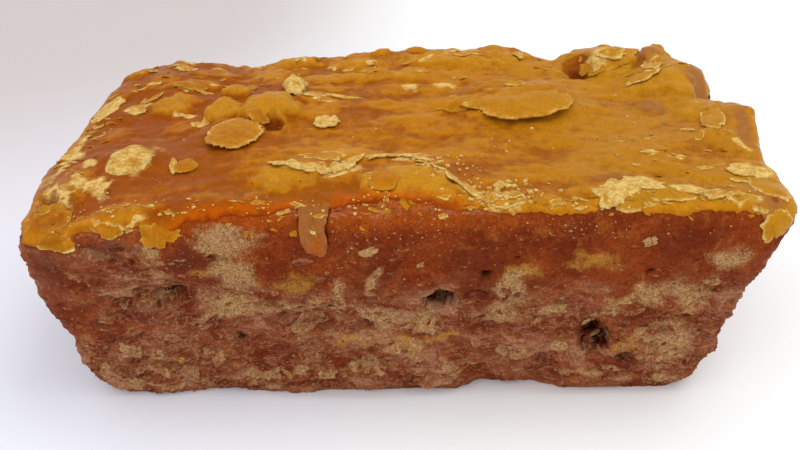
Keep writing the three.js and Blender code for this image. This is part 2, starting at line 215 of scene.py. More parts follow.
paper = Finish("white_sheet")
slantwise = paper.sum(paper.along("Y"), paper.times(paper.along("X"), GREY_SLANT))
left_shade = paper.mix(paper.band(slantwise, GREY_FROM, GREY_FULL), FLOOR_NEAR, FLOOR_FAR_SHADE)
paper.set(
    Base_Color=paper.mix(paper.band(paper.along("X"), RIGHT_FROM, RIGHT_FULL), left_shade, FLOOR_RIGHT),
    Roughness=0.75,
    Specular_IOR_Level=0.25,
)
floor_data.materials.append(paper.material)
print("floor", 2 * FLOOR_REACH, "m wide")

# %% Light
WORLD_COLOUR = (0.985, 0.985, 0.985)
WORLD_STRENGTH = 0.89
LAMPS = {
    # name: place, size, watts, colour
    "window": ((0.55, 0.08, 1.25), 0.8, 5, (1.0, 0.98, 0.95)),
    "room": ((-0.5, -0.9, 0.8), 1.0, 3, (0.98, 0.98, 1.0)),
}

world = bpy.data.worlds.new("room")
world.use_nodes = True
world.node_tree.nodes["Background"].inputs["Color"].default_value = (*WORLD_COLOUR, 1)
world.node_tree.nodes["Background"].inputs["Strength"].default_value = WORLD_STRENGTH
bpy.context.scene.world = world
for name, (place, size, watts, colour) in LAMPS.items():
    lamp_data = bpy.data.lights.new(name, "AREA")
    lamp_data.size = size
    lamp_data.energy = watts
    lamp_data.color = colour
    lamp = bpy.data.objects.new(name, lamp_data)
    lamp.location = place
    lamp.rotation_euler = (-Vector(place)).to_track_quat("-Z", "Y").to_euler()
    bpy.context.collection.objects.link(lamp)
bpy.context.scene.view_settings.view_transform = "Standard"
print("lamps:", ", ".join(LAMPS))

# %% [markdown]
# ## The shape under everything
# The CAD block is right in its main form but has large flat facets. Cutting those facets finer
# would leave long thin cells beside short ones. A merged copy is remeshed into small even cells
# and smoothed instead, because relief looks the same everywhere only on cells of one size.

# %% Even cells
CELL = 1.5 * MM
SAME_POINT = 0.01 * MM
SMOOTHINGS = 3
BASE_HEIGHT = 1.1 * MM
FACING_DOWN = -0.6


def soften(bm, verts, times):
    """Moves points halfway to the middle of their neighbours, a few times over."""
    for _ in range(times):
        bmesh.ops.smooth_vert(
            bm, verts=verts, factor=0.5, use_axis_x=True, use_axis_y=True, use_axis_z=True)


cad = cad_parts["jaggery_block"]
merged = bmesh.new()
merged.from_mesh(cad.data)
bmesh.ops.remove_doubles(merged, verts=merged.verts, dist=SAME_POINT)
holder_data = bpy.data.meshes.new("holder")
merged.to_mesh(holder_data)
merged.free()
holder = bpy.data.objects.new("holder", holder_data)
bpy.context.collection.objects.link(holder)
remesh = holder.modifiers.new("cells", "REMESH")
remesh.mode = "VOXEL"
remesh.voxel_size = CELL

base = bmesh.new()
base.from_object(holder, bpy.context.evaluated_depsgraph_get())
bpy.data.objects.remove(holder)
soften(base, base.verts, SMOOTHINGS)
for vert in base.verts:
    if vert.co.z < BASE_HEIGHT and vert.normal.z < FACING_DOWN:
        vert.co.z = 0
print("even cells:", len(base.faces))

# %% [markdown]
# ## Places read from the picture
# The marks of the top and the front were read from the picture as if both were flat. They aren't,
# and each mark could be nudged until it looks right. Instead each place is looked at along the
# line of sight, and lands where that line meets the block, so all of them fall in place at once.

# %% Landing along the line of sight
TOP_PLANE = 54.0
FRONT_PLANE = -40.5
COLUMN = 8.0  # width of a column of marks, in mm
base_tree = BVHTree.FromBMesh(base)


def in_sight(point):
    """Where the line of sight through a point meets the even form, in mm."""
    hit = base_tree.ray_cast(CAMERA_PLACE, (point * MM - CAMERA_PLACE).normalized())[0]
    return point if hit is None else hit / MM


def on_top(x, y):
    return tuple(in_sight(Vector((x, y, TOP_PLANE))).xy)


def on_front(x, z):
    return tuple(in_sight(Vector((x, FRONT_PLANE, z))).xz)


def landed(marks, where):
    """The same marks, each with its first two numbers moved to where it is seen."""
    return [(*where(mark[0], mark[1]), *mark[2:]) for mark in marks]


def by_column(marks, margin=4.0):
    """Sorts marks by the columns that they reach, so that few are tried at each point."""
    columns = {}
    for mark in marks:
        reach = 2 * max(mark[2], mark[3]) + margin
        first = math.floor((mark[0] - reach) / COLUMN)
        last = math.floor((mark[0] + reach) / COLUMN)
        for column in range(first, last + 1):
            columns.setdefault(column, []).append(mark)
    return columns


print("the middle of the top is seen at", [round(v, 1) for v in on_top(0, 0)])

# %% [markdown]
# ## Where the skin ends
# The skin covers the top and stops in a ragged line near the rim. The line could be drawn as a
# curve and cut out. A single number for each point is simpler: how far the point is inside the
# rim, in millimetres along the top and down the side added together. The front line is given
# point by point, because there it dips into lips at the left and into one thin tongue.

# %% The rim
RIM_LEVEL = 53.5
FRONT_AT, LEFT_AT, RIGHT_AT, BACK_AT = 39.3, 87.5, 85.5, 51.0  # the rim from the middle, in mm
LEFT_OVER, RIGHT_OVER, BACK_OVER = 5, 4, 4.5  # how far the skin hangs over it, in mm
FRONT_RIM = [
    # x, how far inside the rim the skin ends. The tongue is the deep stretch near x = -18
    (-88, -5.5), (-81, -6.5), (-76, -6.5), (-71, -4), (-65, -5), (-60, -3), (-57, -2.5), (-55, -7),
    (-51, -6.5), (-48.5, -4.5), (-47, -1), (-38, -0.8), (-30, -0.5), (-25, 2), (-22.3, 2.2),
    (-21.6, -8.5), (-20.6, -11), (-16.6, -11.8), (-15.4, -9.5), (-14.9, 3.5), (-6, 3.5), (2, 2),
    (12, 0.5), (22, -0.5), (40, -1), (46, 0.5), (50, -0.5), (58, -1.8), (70, -1.6), (78, -2.5),
    (82, -9), (88, -9),
]


def read(points, at):
    """Reads a list of (place, value) pairs, straight between them."""
    if at <= points[0][0]:
        return points[0][1]
    for (a, low), (b, high) in zip(points, points[1:]):
        if at <= b:
            return low + (high - low) * (at - a) / (b - a)
    return points[-1][1]


def inside_rim(point):
    """Distances inside the front, left, right and back rims, in mm."""
    down = point.z - RIM_LEVEL
    front = point.y + FRONT_AT + down
    left = point.x + LEFT_AT + down
    right = RIGHT_AT - point.x + down
    back = BACK_AT - point.y + down
    return front, left, right, back


def skin_depth(point):
    """How far a point is inside the skin's ragged edge, in mm. Negative is outside it."""
    front, left, right, back = inside_rim(point)
    front -= read(FRONT_RIM, point.x)
    low = 2.2 * noise.noise(point * 0.09 + Vector((5, 1, 7)))
    wander = 1.6 * noise.noise(point * 0.21)
    wander += 0.9 * noise.noise(point * 0.7)
    wander += 0.3 * noise.noise(point * 1.9)
    return min(front, left + LEFT_OVER + low, right + RIGHT_OVER + low, back + BACK_OVER + low) + wander


print("skin inside the middle of the top:", round(skin_depth(Vector((0, 0, 54))), 1), "mm")

# %% [markdown]
# ## Finer cells where they show
# The front is seen closest, so its cells and those of its rim are cut in three. The other sides
# need less, so only their long edges are cut in two. Small cells everywhere would be simpler, but
# the piece would then be too heavy to keep.

# %% Finer cells
FACING_FRONT = -0.35
FRONT_RIM_BACK = -33  # the front rim's cells lie before this line and above the next, in mm
FRONT_RIM_LOW = 49
LONG = 1.2 * MM
UPRIGHT = 0.8  # a side's normal leans up or down by less than this


def middle(face):
    return face.calc_center_median() / MM


def is_front(face):
    on_rim = middle(face).y < FRONT_RIM_BACK and middle(face).z > FRONT_RIM_LOW
    return face.normal.y < FACING_FRONT or on_rim


def is_seen_front(face):
    return is_front(face) and face.normal.z > -UPRIGHT


def is_other_side(face):
    return abs(face.normal.z) < UPRIGHT and not is_front(face)


def cut_finer(bm, chosen, cuts=1, longer=0.0):
    """Cuts the chosen faces, along those of their edges that are long enough."""
    picked = {face for face in bm.faces if chosen(face)}
    edges = [
        edge for edge in bm.edges
        if edge.calc_length() > longer and not picked.isdisjoint(edge.link_faces)
    ]
    bmesh.ops.subdivide_edges(bm, edges=edges, cuts=cuts, use_grid_fill=True)


def split_odd_faces(bm):
    """Makes triangles of the faces that have more than four corners after a cut."""
    bmesh.ops.triangulate(bm, faces=[face for face in bm.faces if len(face.verts) > 4])


body = base.copy()
cut_finer(body, is_seen_front, cuts=2)
body.normal_update()
cut_finer(body, is_other_side, longer=LONG)
split_odd_faces(body)
soften(body, body.verts, 2)
body.normal_update()
print("body cells:", len(body.faces))

# %% [markdown]
# ## Relief of the rough sides
# The sides broke away from the mould in layers. A displace modifier could raise them, but it
# would treat the torn and the smooth parts alike. Here each point gets three kinds of relief:
# long waves, terraces with sharp edges where the sugar is layered, and fine grain. The upper
# middle of the front gets the least, and the lower and left parts the most.

# %% Rough relief
ROUGH_BELOW = (44, 24)  # going down, the front grows rougher between these heights, in mm
ROUGH_LEFT = (-48, -66)  # and again, going left, between these places
SMOOTHEST, LOW_ROUGH, LEFT_ROUGH, SIDE_ROUGH = 0.18, 0.75, 0.4, 0.85
WAVES, SHELVES, TORN, CARVED = 0.5, 1.7, 1.5, 1.1  # depths in mm
GRAIN_ALWAYS, GRAIN_ROUGH = 0.12, 0.30


def step(low, high, value):
    """Runs smoothly from 0 to 1 between low and high."""
    share = min(1.0, max(0.0, (value - low) / (high - low)))
    return share * share * (3 - 2 * share)


def scaled(point, x, y, z, shift=0.0):
    """The point in units of x, y and z millimetres, which sets how large noise is there."""
    return Vector((point.x / x + shift, point.y / y + shift, point.z / z - shift))


def clouds(point, octaves=3):
    return noise.fractal(point, 1.0, 2.0, octaves)


def terraces(value, steps, sharp=0.22):
    """Turns a smooth value into flat shelves with steep fronts."""
    level = value * steps
    shelf = math.floor(level)
    return (shelf + step(1 - sharp, 1, level - shelf)) / steps


def to_front(normal):
    """1 where the surface faces the front, 0 on the other sides."""
    return step(0.3, 0.7, -normal.y)


def roughness_at(point, normal):
    """How rough a place on the sides is, from 0 to 1."""
    wild = 0.75 + 0.5 * noise.noise(scaled(point, 22, 22, 16, 3))
    low = step(*ROUGH_BELOW, point.z)
    left = step(*ROUGH_LEFT, point.x)
    front = min(1.0, SMOOTHEST + LOW_ROUGH * low + LEFT_ROUGH * left)
    facing = to_front(normal)
    return wild * (front * facing + SIDE_ROUGH * (1 - facing))


def rough_relief(point, normal):
    """Relief of a side in mm, along its normal."""
    rough = roughness_at(point, normal)
    waves = WAVES * clouds(scaled(point, 15, 15, 12))
    shelves = terraces(clouds(scaled(point, 9, 9, 4.2, 7)) * 0.6, 5)
    torn = terraces(clouds(scaled(point, 4.0, 4.0, 1.9, 2)) * 0.6, 4)
    carved = -abs(clouds(scaled(point, 3.0, 3.0, 2.0, 9), 2))
    layers = SHELVES * shelves + TORN * torn + CARVED * carved
    grain = clouds(point / 1.4, 2)
    return waves + rough * layers + (GRAIN_ALWAYS + GRAIN_ROUGH * rough) * grain


print("roughness low on the front:", round(roughness_at(Vector((0, -40, 10)), Vector((0, -1, 0))), 2))

# %% [markdown]
# ## Pits of the front
# These are bubbles that opened and lumps that tore out. Each could be cut out with a ball, but
# that leaves rims as clean as a drill's. Each has a place on the front instead, as x and height,
# and its points are pushed straight back into the block with some noise, so its rim is uneven.

# %% Pits
FRONT_PITS = [
    # x, z, half width, half height, depth, turn
    (9.2, 30.3, 4.0, 2.5, 5.0, 5), (17.0, 31.0, 3.4, 1.5, 1.7, 0), (19.6, 37.0, 1.3, 1.2, 2.6, 20),
    (26.6, 31.0, 1.1, 1.0, 2.0, 40), (18.8, 24.6, 1.5, 0.6, 1.4, 20), (45.2, 18.4, 3.8, 3.8, 4.4, 25),
    (52.5, 11.5, 4.2, 1.8, 1.6, 8), (-57.0, 31.6, 2.6, 2.2, 2.4, -30), (-53.2, 32.4, 2.4, 1.5, 3.0, 15),
    (-39.4, 19.3, 1.9, 1.5, 2.4, 0), (-8.0, 23.2, 1.2, 1.2, 2.4, 0), (-60.9, 42.2, 1.0, 0.8, 1.8, 0),
    (-42.3, 42.9, 1.7, 1.2, 1.5, 20), (-64.0, 20.4, 1.9, 0.8, 1.6, 35), (56.3, 37.6, 1.1, 0.8, 1.8, 0),
    (65.8, 25.0, 1.2, 0.8, 1.6, 0), (-28.0, 26.4, 0.9, 0.7, 1.2, 0), (-41.2, 23.6, 0.8, 0.8, 1.4, 0),
    (24.4, 14.6, 1.6, 0.8, 1.2, 30), (26.5, 42.0, 0.8, 0.6, 1.2, 0), (-22.0, 24.4, 4.6, 1.9, 1.5, 10),
    (-45.0, 25.0, 2.0, 1.3, 0.9, 0), (-69.5, 36.0, 1.8, 1.0, 1.2, 20), (33.5, 11.5, 1.2, 2.2, 1.2, -10),
]
PIT_RIM, PIT_FLOOR = 1.12, 0.55  # a pit deepens from one to the other, in shares of its size
pits_here = by_column(landed(FRONT_PITS, on_front))


def turned(x, z, degrees):
    """The same step, seen from a mark that is turned by so many degrees."""
    angle = math.radians(degrees)
    return x * math.cos(angle) + z * math.sin(angle), z * math.cos(angle) - x * math.sin(angle)


def pit_depth(point):
    """How far the front is pushed back at a point, in mm, by its pits alone."""
    deepest = 0.0
    for x, z, wide, high, depth, turn in pits_here.get(int(point.x // COLUMN), ()):
        if abs(point.z - z) > 2 * max(wide, high) + 2:
            continue
        aside, above = turned(point.x - x, point.z - z, turn)
        reach = math.hypot(aside / wide, above / high) + 0.3 * noise.noise(point * 0.9)
        deepest = max(deepest, depth * step(PIT_RIM, PIT_FLOOR, reach))
    return deepest


print(len(FRONT_PITS), "pits")

# %% [markdown]
# ## Ledges of the front
# In places a layer sticks out and leaves a shadow under it. Each ledge is a stretch of the front
# with a wandering upper edge, and the surface under that edge is pushed back, most of all close
# to it. An overhang modelled by hand would show no better from the front.

# %% Ledges
LEDGES = [
    # x from, x to, height of the edge, how far down the hollow runs, how deep it is
    (-70, -51, 33.8, 7, 2.6), (-32, -13, 27.6, 5, 1.3), (-76, -58, 19.5, 6, 1.4),
    (-72, -46, 11.5, 6, 1.5), (-44, -28, 10.0, 6, 1.3), (-26, 4, 16.5, 6, 0.9), (-14, 12, 7.0, 5, 1.1),
    (14, 34, 22.5, 6, 0.9), (34, 58, 12.5, 7, 1.5), (50, 76, 24.0, 6, 0.9), (-86, -72, 30.0, 6, 1.3),
    (16, 40, 9.0, 6, 1.2),
]
LEDGE_FADE = 5  # how far from its ends a ledge fades out, in mm


def seen_ledge(left, right, edge, drop, depth):
    """The same ledge, with its edge at the height where it is seen."""
    return left, right, on_front((left + right) / 2, edge)[1], drop, depth


def ledge_depth(point):
    """How far the front is pushed back under its ledges."""
    deepest = 0.0
    for left, right, edge, drop, depth in ledges_here:
        if not left - 2 < point.x < right + 2:
            continue
        edge_here = edge + 1.6 * noise.noise(Vector((point.x / 5.5, edge, 0)))
        edge_here += 0.8 * noise.noise(Vector((point.x / 1.7, edge, 4)))
        below = edge_here - point.z
        if below < 0 or below > drop:
            continue
        ends = step(left - 1, left + LEDGE_FADE, point.x) * step(right + 1, right - LEDGE_FADE, point.x)
        deepest = max(deepest, depth * ends * step(0, 0.7, below) * (1 - below / drop) ** 1.3)
    return deepest


ledges_here = [seen_ledge(*ledge) for ledge in LEDGES]
print(len(LEDGES), "ledges")

# %% [markdown]
# ## Relief of the top
# The skin set over lumps that floated up and lay flat like small pancakes. Noise alone would make
# even hills, so each lump that can be told apart in the picture is a lobe of its own: a steep
# edge towards the front that fades out behind. Small lobes are strewn between them by a seeded
# draw, and long low waves and fine wrinkles cover all of it.

# %% Lobes of the top
LOBES = [
    # x, y, half length, half depth, height, turn
    (-64, 20, 8, 6.5, 1.0, 10), (-60, 32, 9, 3.5, 0.9, 4), (-56, 40, 8, 4, 0.8, -6),
    (-72, 36, 6, 4, 0.6, 20), (-47.5, 26, 3.6, 3.6, 1.6, 0), (-49, 15, 5.6, 6.5, 1.8, -5),
    (-37, 17, 8.5, 7.5, 1.9, 10), (-40, 38, 7, 6, 0.8, 0), (-34, 47, 9, 4.5, 0.9, 5),
    (-24, 34, 9, 4, 0.7, -8), (-10, 36, 10, 5, 0.7, 5), (-16, 45, 8, 4, 0.7, 0), (2, 36, 7, 5, 0.8, 0),
    (8, 48, 9, 5, 0.9, 0), (12, 34, 9, 5.5, 0.6, -10), (-4, 15, 8, 4, 0.5, 0), (-24, 12, 7, 4, 0.5, 0),
    (20, 44, 7, 4, 0.6, 10), (4, 6, 8, 3.5, 0.35, 0), (-27, -24, 9, 6.5, 0.8, 8),
    (3, -28, 13, 9.5, 1.5, -22), (-12, -14, 8, 4.5, 0.6, 0), (-76, -25, 6, 8, 0.5, 0),
    (-58, 4, 5, 5, 0.4, 0), (-75, 2, 5, 6, 0.4, 0), (66, 24, 7, 5, 1.0, 15), (75, 27, 6, 8, 1.0, 30),
    (76, 8, 6, 7, 0.7, 10), (62, 33, 7, 4, 0.7, 0), (78, -8, 5, 7, 0.5, 20), (52, 24, 8, 4, 0.4, 0),
    (54, -33, 9, 4, 0.6, 5), (-62, -38, 12, 4, 0.5, 0), (36, 38, 6, 5, 0.5, 0), (27, 50, 4, 4, 0.6, 0),
    (-80, 30, 4, 7, 0.5, 0), (-67, -12, 5.9, 6.3, 0.8, 0), (59, 44, 8, 5, 1.4, 5),
    (73, 46, 3, 5.5, 1.0, 0), (65.5, 10.5, 3.5, 3.8, 0.9, 0),
]
LOBE_SCALE = 1.35
LOBE_RIM, STEEP_TOP, FADING_TOP = 1.05, 0.84, 0.35  # where a lobe begins and is at its full height
SMALL_LOBES = 70
SMALL_LOBE_SEED = 4

lobes = landed(LOBES, on_top)
draw = random.Random(SMALL_LOBE_SEED)
for _ in range(SMALL_LOBES):
    long = draw.uniform(2.5, 6.0)
    place = (draw.uniform(-84, 82), 50 - 44 * draw.random() ** 1.5)
    lobes.append((*place, long, long * draw.uniform(0.4, 0.8), draw.uniform(0.25, 0.75), draw.gauss(0, 14)))
lobes_here = by_column(lobes)


def lobe_height(point):
    """How high the tallest lobe is at a point, in mm."""
    tallest = 0.0
    for x, y, long, deep, height, turn in lobes_here.get(int(point.x // COLUMN), ()):
        if abs(point.y - y) > 1.6 * max(deep, long):
            continue
        aside, behind = turned(point.x - x, point.y - y, turn)
        uneven = 0.28 * noise.noise(Vector((point.x * 0.33, point.y * 0.33, x)))
        reach = math.hypot(aside / long, behind / deep) + uneven
        edge = step(LOBE_RIM, STEEP_TOP if behind < 0 else FADING_TOP, reach)
        tallest = max(tallest, LOBE_SCALE * height * edge * (1 - 0.35 * min(1, reach)))
    return tallest


print(len(lobes), "lobes")

# %% Hollows of the top, and its whole relief
TOP_HOLLOWS = [
    # x, y, half length, half depth, depth
    (-34.2, 4.5, 2.6, 4.2, 2.6), (50.5, 38.5, 4.6, 6.0, 2.2), (-67.5, -30, 1.4, 1.2, 1.4),
    (-80, -33, 3, 2.4, 1.8), (31.6, 28.6, 1.0, 1.0, 1.0), (69.6, 50, 1.4, 6, 2.5),
]
hollows_here = by_column(landed(TOP_HOLLOWS, on_top))


def hollow_depth(point):
    """How deep the hollows are at a point, in mm."""
    deepest = 0.0
    for x, y, long, deep, depth in hollows_here.get(int(point.x // COLUMN), ()):
        reach = math.hypot((point.x - x) / long, (point.y - y) / deep) + 0.2 * noise.noise(point * 0.6)
        deepest = max(deepest, depth * step(1.1, 0.5, reach))
    return deepest


def top_relief(point):
    """Relief of the top in mm, upwards."""
    flow = 0.5 * clouds(scaled(point, 17, 9, 20)) + 0.16 * clouds(scaled(point, 7, 3.6, 9, 4))
    fine = 0.07 * clouds(point / 1.6, 2)
    lumpy = 0.55 * max(0.0, clouds(scaled(point, 5, 4, 9, 11))) * step(8, 36, point.y)
    return flow + fine + lumpy + lobe_height(point) - hollow_depth(point)


print(len(TOP_HOLLOWS), "hollows")

# %% [markdown]
# ## Push the body out
# Each point of the even form now goes out along its normal by its relief. Pits and ledges could
# be part of that relief, but they go straight back instead, so that they look as deep as they do
# in the picture. Under the skin the body is sunk a little, to leave room for the sheet. The foot
# stays flat on the floor.

# %% Push the body out
SKIN_ROOM = 0.8  # how far the body is sunk under the skin, in mm
SKIN_LOWEST = 30  # the skin never comes down to this height, in mm
FOOT = 0.05  # points lower than this stay on the floor, in mm


def relief_at(point, normal):
    """The whole relief at a point of the even form, in mm along its normal."""
    up = step(0.35, 0.85, normal.z)
    under = step(-0.5, -0.9, normal.z)
    relief = up * top_relief(point) if up > 0 else 0.0
    side = (1 - up) * (1 - under)
    if side > 0:
        relief += side * rough_relief(point, normal) * (1 - 0.6 * step(47, 53, point.z))
    return relief


def pushed(point, normal):
    """Where a point of the even form ends up, and how far its relief moved it, in mm."""
    relief = relief_at(point, normal)
    moved = point + normal * relief
    facing = step(0.2, 0.6, -normal.y)
    moved.y += facing * (pit_depth(point) + ledge_depth(point))
    return moved, relief


def push_body():
    for vert, (point, normal) in zip(body.verts, even_form):
        moved, vert[masks["raised"]] = pushed(point, normal)
        if point.z > SKIN_LOWEST:
            moved -= normal * SKIN_ROOM * step(0.5, 3.0, skin_depth(point))
        if point.z < FOOT:
            moved.z = 0
        vert.co = Vector((moved.x, moved.y, max(0.0, moved.z))) * MM


masks = {name: body.verts.layers.float.new(name) for name in ("powder", "gold", "dark", "rough", "raised")}
even_form = [(vert.co / MM, vert.normal.copy()) for vert in body.verts]
push_body()
body.normal_update()
print("pushed", len(body.verts), "points")

# %% [markdown]
# ## Patches of the front
# Dry sugar dust lies on the sides in beige patches, here and there golden sugar shows, some places
# are stained dark, and the dark patches at pits and under ledges are painted shade. Noise alone
# would put them anywhere, and a painted picture would need a file of its own. So the patches are
# painted as values on the points, each at its own place.
# A patch is 1 in its middle and falls below 0 outside, and the finish adds fine noise before it
# makes an edge there. The sides that the picture doesn't show get patches drawn by noise.

# %% Where the patches are
POWDER = [
    # x, z, half width, half height, turn
    (-37, 52, 9, 3.5, 0), (-39, 47.5, 7.5, 6, -8), (-38.5, 39, 5.5, 7.5, 8), (-41, 30, 9, 4.0, 0),
    (-57.5, 46, 2.6, 5, -15), (-56, 39, 3.0, 3.5, 20), (-77, 40, 5, 0.9, -30), (-68, 44, 4, 1, 0),
    (-23, 29.0, 9, 1.6, 2), (-14.3, 29, 1.8, 6, -20), (-5.5, 36, 2.2, 4.2, -32), (-14, 33.5, 3, 3, 30),
    (26, 33, 4.5, 6.0, 10), (22, 26, 6, 3.5, 15), (57, 31.5, 6, 3.8, 30), (66, 30.5, 6, 4.0, -12),
    (50, 28, 6, 2.0, 35), (63, 15.5, 6.5, 8.0, 8), (-5, 25, 6, 4, 0), (5, 24, 6, 3.0, 0),
    (-25, 9, 6, 1.2, 0), (35, 27, 6, 1.8, 10), (1, 15, 4, 2, 0), (46, 7, 7, 1.6, 0), (73, 40, 5, 5, 0),
    (-75, 10, 2, 4, 0), (-10, 9, 7, 1.4, 0), (25, 14, 4, 3, 0), (-66, 5, 5, 1.6, 0),
    (-33, 4, 6, 1.2, 0), (62, 5, 5, 1.6, 0),
]
GOLD = [
    (-59, 31.5, 3.4, 1.2, -20), (-22, 24, 4.2, 1.6, 14), (-12, 18, 9, 1.3, 0), (2, 16, 3.4, 3.0, 0),
    (43.5, 41, 5.6, 3.0, 0), (53, 16.5, 5.2, 2.4, 38), (36.5, 26, 2.2, 1.6, 0), (43.5, 24, 1.8, 2.4, 0),
    (57, 14, 2.2, 3.0, 0), (-51, 31, 2.4, 1.6, 0), (37, 16.3, 1.8, 1.2, 0), (29, 38.5, 5, 2.4, 0),
    (-46, 38, 3, 2, 0), (-56, 13, 3, 2, 0), (10, 20, 5, 1.6, 0), (-24, 35, 5, 3, 0),
]
# Dark patches: some are stains, and those at pits and under ledges are painted shade.
STAINS_AND_SHADE = [
    (-45, 25, 2.6, 1.8, 0), (-73, 24, 3.2, 3.2, 0), (-49, 42, 5.5, 4.5, 0), (-66, 45, 6, 3, 0),
    (-80, 41, 6, 5, 0), (-62, 28, 5, 2.5, 0), (-64, 20.5, 2.2, 1.2, 35), (65.8, 25.2, 1.8, 1.2, 0),
    (4, 11, 4, 2, 0), (33.5, 11, 1.6, 3, -10), (53, 10.5, 3.6, 2.2, 0), (22, 6, 3, 2, 0),
]
powder_here, gold_here, stains_and_shade_here = [
    by_column(landed(spots, on_front)) for spots in (POWDER, GOLD, STAINS_AND_SHADE)
]
print(len(POWDER), "powder,", len(GOLD), "gold and", len(STAINS_AND_SHADE), "dark patches")

# %% Paint the patches
# size in mm, how much is covered, and where the noise is read
POWDER_BEYOND = (13, -0.75, 3)
GOLD_BEYOND = (9, -1.0, 8)
STAINS_BEYOND = (11, -1.0, 13)
WARP_SEED = 3

noise.seed_set(WARP_SEED)  # vector noise starts from the clock unless it is given a seed


def patches(spots, x, z):
    """1 in the middle of a patch, 0 on its edge and down to -1 far outside."""
    wide_warp = noise.noise_vector(Vector((x / 5, z / 5, 2.5)))
    fine_warp = noise.noise_vector(Vector((x / 1.7, z / 1.7, 7.5)))
    x += 3.0 * wide_warp.x + 1.2 * fine_warp.x
    z += 3.0 * wide_warp.y + 1.2 * fine_warp.y
    best = -1.0
    for middle_x, middle_z, wide, high, turn in spots.get(int(x // COLUMN), ()):
        reach = 2 * max(wide, high)
        if abs(x - middle_x) < reach and abs(z - middle_z) < reach:
            aside, above = turned(x - middle_x, z - middle_z, turn)
            best = max(best, 1 - math.hypot(aside / wide, above / high))
    return best


def wild_patches(point, size, cover, shift):
    """Patches drawn by noise, for the sides beyond the front."""
    return 2.2 * clouds(scaled(point, size, size, size * 0.7, shift)) + cover


def on_side(point, normal, spots, beyond):
    """The patches of the front, and noise patches on the other sides. The top has none."""
    facing = to_front(normal)
    value = facing * patches(spots, point.x, point.z) if facing > 0 else 0.0
    if facing < 1:
        value += (1 - facing) * wild_patches(point, *beyond)
    upward = step(0.2, 0.6, normal.z)
    return value * (1 - upward) - upward


def paint_body():
    for vert, (point, normal) in zip(body.verts, even_form):
        vert[masks["powder"]] = on_side(point, normal, powder_here, POWDER_BEYOND)
        vert[masks["gold"]] = on_side(point, normal, gold_here, GOLD_BEYOND)
        vert[masks["rough"]] = roughness_at(point, normal)
        # Painted shade: deep pits are marked dark, for a near-black colour, and count as lower, for a darker
        # red.
        hollow = pit_depth(point) * to_front(normal)
        stain_and_shade = on_side(point, normal, stains_and_shade_here, STAINS_BEYOND)
        vert[masks["dark"]] = max(stain_and_shade * 0.5, 2 * step(0.9, 2.6, hollow) - 1)
        vert[masks["raised"]] -= step(0.3, 1.5, hollow)


paint_body()
print("painted", ", ".join(masks))

# %% [markdown]
# ## Keep a finished mesh
# Every piece of the block is finished in the same way, so one helper does it: it turns the
# faces outwards, makes the object, gives it its finish, and fixes it to the block's own body.

# %% Keep a finished mesh as an object
def finished(name, bm, material, smooth=True):
    """Turns a bmesh into a piece of the block that rides on it and takes its finish."""
    bmesh.ops.recalc_face_normals(bm, faces=bm.faces)
    data = bpy.data.meshes.new(name)
    bm.to_mesh(data)
    data.materials.append(material)
    data.polygons.foreach_set("use_smooth", [smooth] * len(data.polygons))
    piece = bpy.data.objects.new(name, data)
    bpy.context.collection.objects.link(piece)
    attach(piece, "root")
    triangles = sum(len(polygon.vertices) - 2 for polygon in data.polygons)
    print(name, triangles, "triangles")
    return piece


print("pieces can be kept now")

# %% [markdown]
# ## Finish of the rough sides
# Boiled cane sugar is red-brown and a little clear, so light sinks in before it comes out: that
# is the subsurface part. A single noisy colour would look like brick. Over the base colour lie
# caramel blotches, beige dust, golden spots, dark stains, cracks and pale grains, partly painted
# glints, each with its own size of pattern. Raised relief is painted lighter, as painted light,
# and pits and the hollows under ledges get painted shade. Dusty places are dull and clean ones keep
# a wet gloss.

# %% Colours and patterns of rough sugar
DEEP_RED = (0.140, 0.019, 0.005)
RED_BROWN = (0.232, 0.037, 0.006)
CARAMEL = (0.345, 0.110, 0.024)
BROWN = (0.255, 0.078, 0.032)
ROSE = (0.46, 0.235, 0.125)
BEIGE = (0.46, 0.29, 0.125)
BEIGE_SHADE = (0.29, 0.135, 0.048)
GOLDEN = (0.42, 0.20, 0.028)
GLOW_ORANGE = (0.37, 0.070, 0.005)
PALE = (0.72, 0.55, 0.32)
# Painted shade: near-black for the deep pits.
PIT_SHADE = (0.030, 0.006, 0.004)
STAIN_AND_SHADE = (0.115, 0.023, 0.012)
GREY_LOW = (0.28, 0.28, 0.28)
GREY_HIGH = (0.76, 0.76, 0.76)
# sizes are in mm
FINE = dict(size=0.8, detail=3, rough=0.65)
GRIT = dict(size=0.3, detail=2, rough=0.6, shift=2)
BROAD = dict(size=14, detail=3, rough=0.5)
BLOTCH = dict(size=3.2, detail=5, rough=0.65, warp=0.6, shift=1)
FILM = dict(size=7, detail=5, rough=0.7, stretch=(0.7, 0.7, 1.3), warp=0.8, shift=8)
WIDE_TONE = dict(size=8, detail=3, rough=0.6, stretch=(0.8, 0.8, 1.2), warp=0.6, shift=17)
CRACKS = dict(size=1.9, detail=4, rough=0.65, stretch=(0.6, 0.6, 1.4), warp=1.0, shift=14)
TANGLE = dict(size=4.5, detail=5, rough=0.68, stretch=(0.6, 0.6, 1.3), warp=1.2, shift=11)
LAYERS = dict(size=4.0, detail=4, rough=0.6, stretch=(0.5, 0.5, 1.6), shift=4)
print("blotches of", BLOTCH["size"], "mm and grit of", GRIT["size"], "mm")

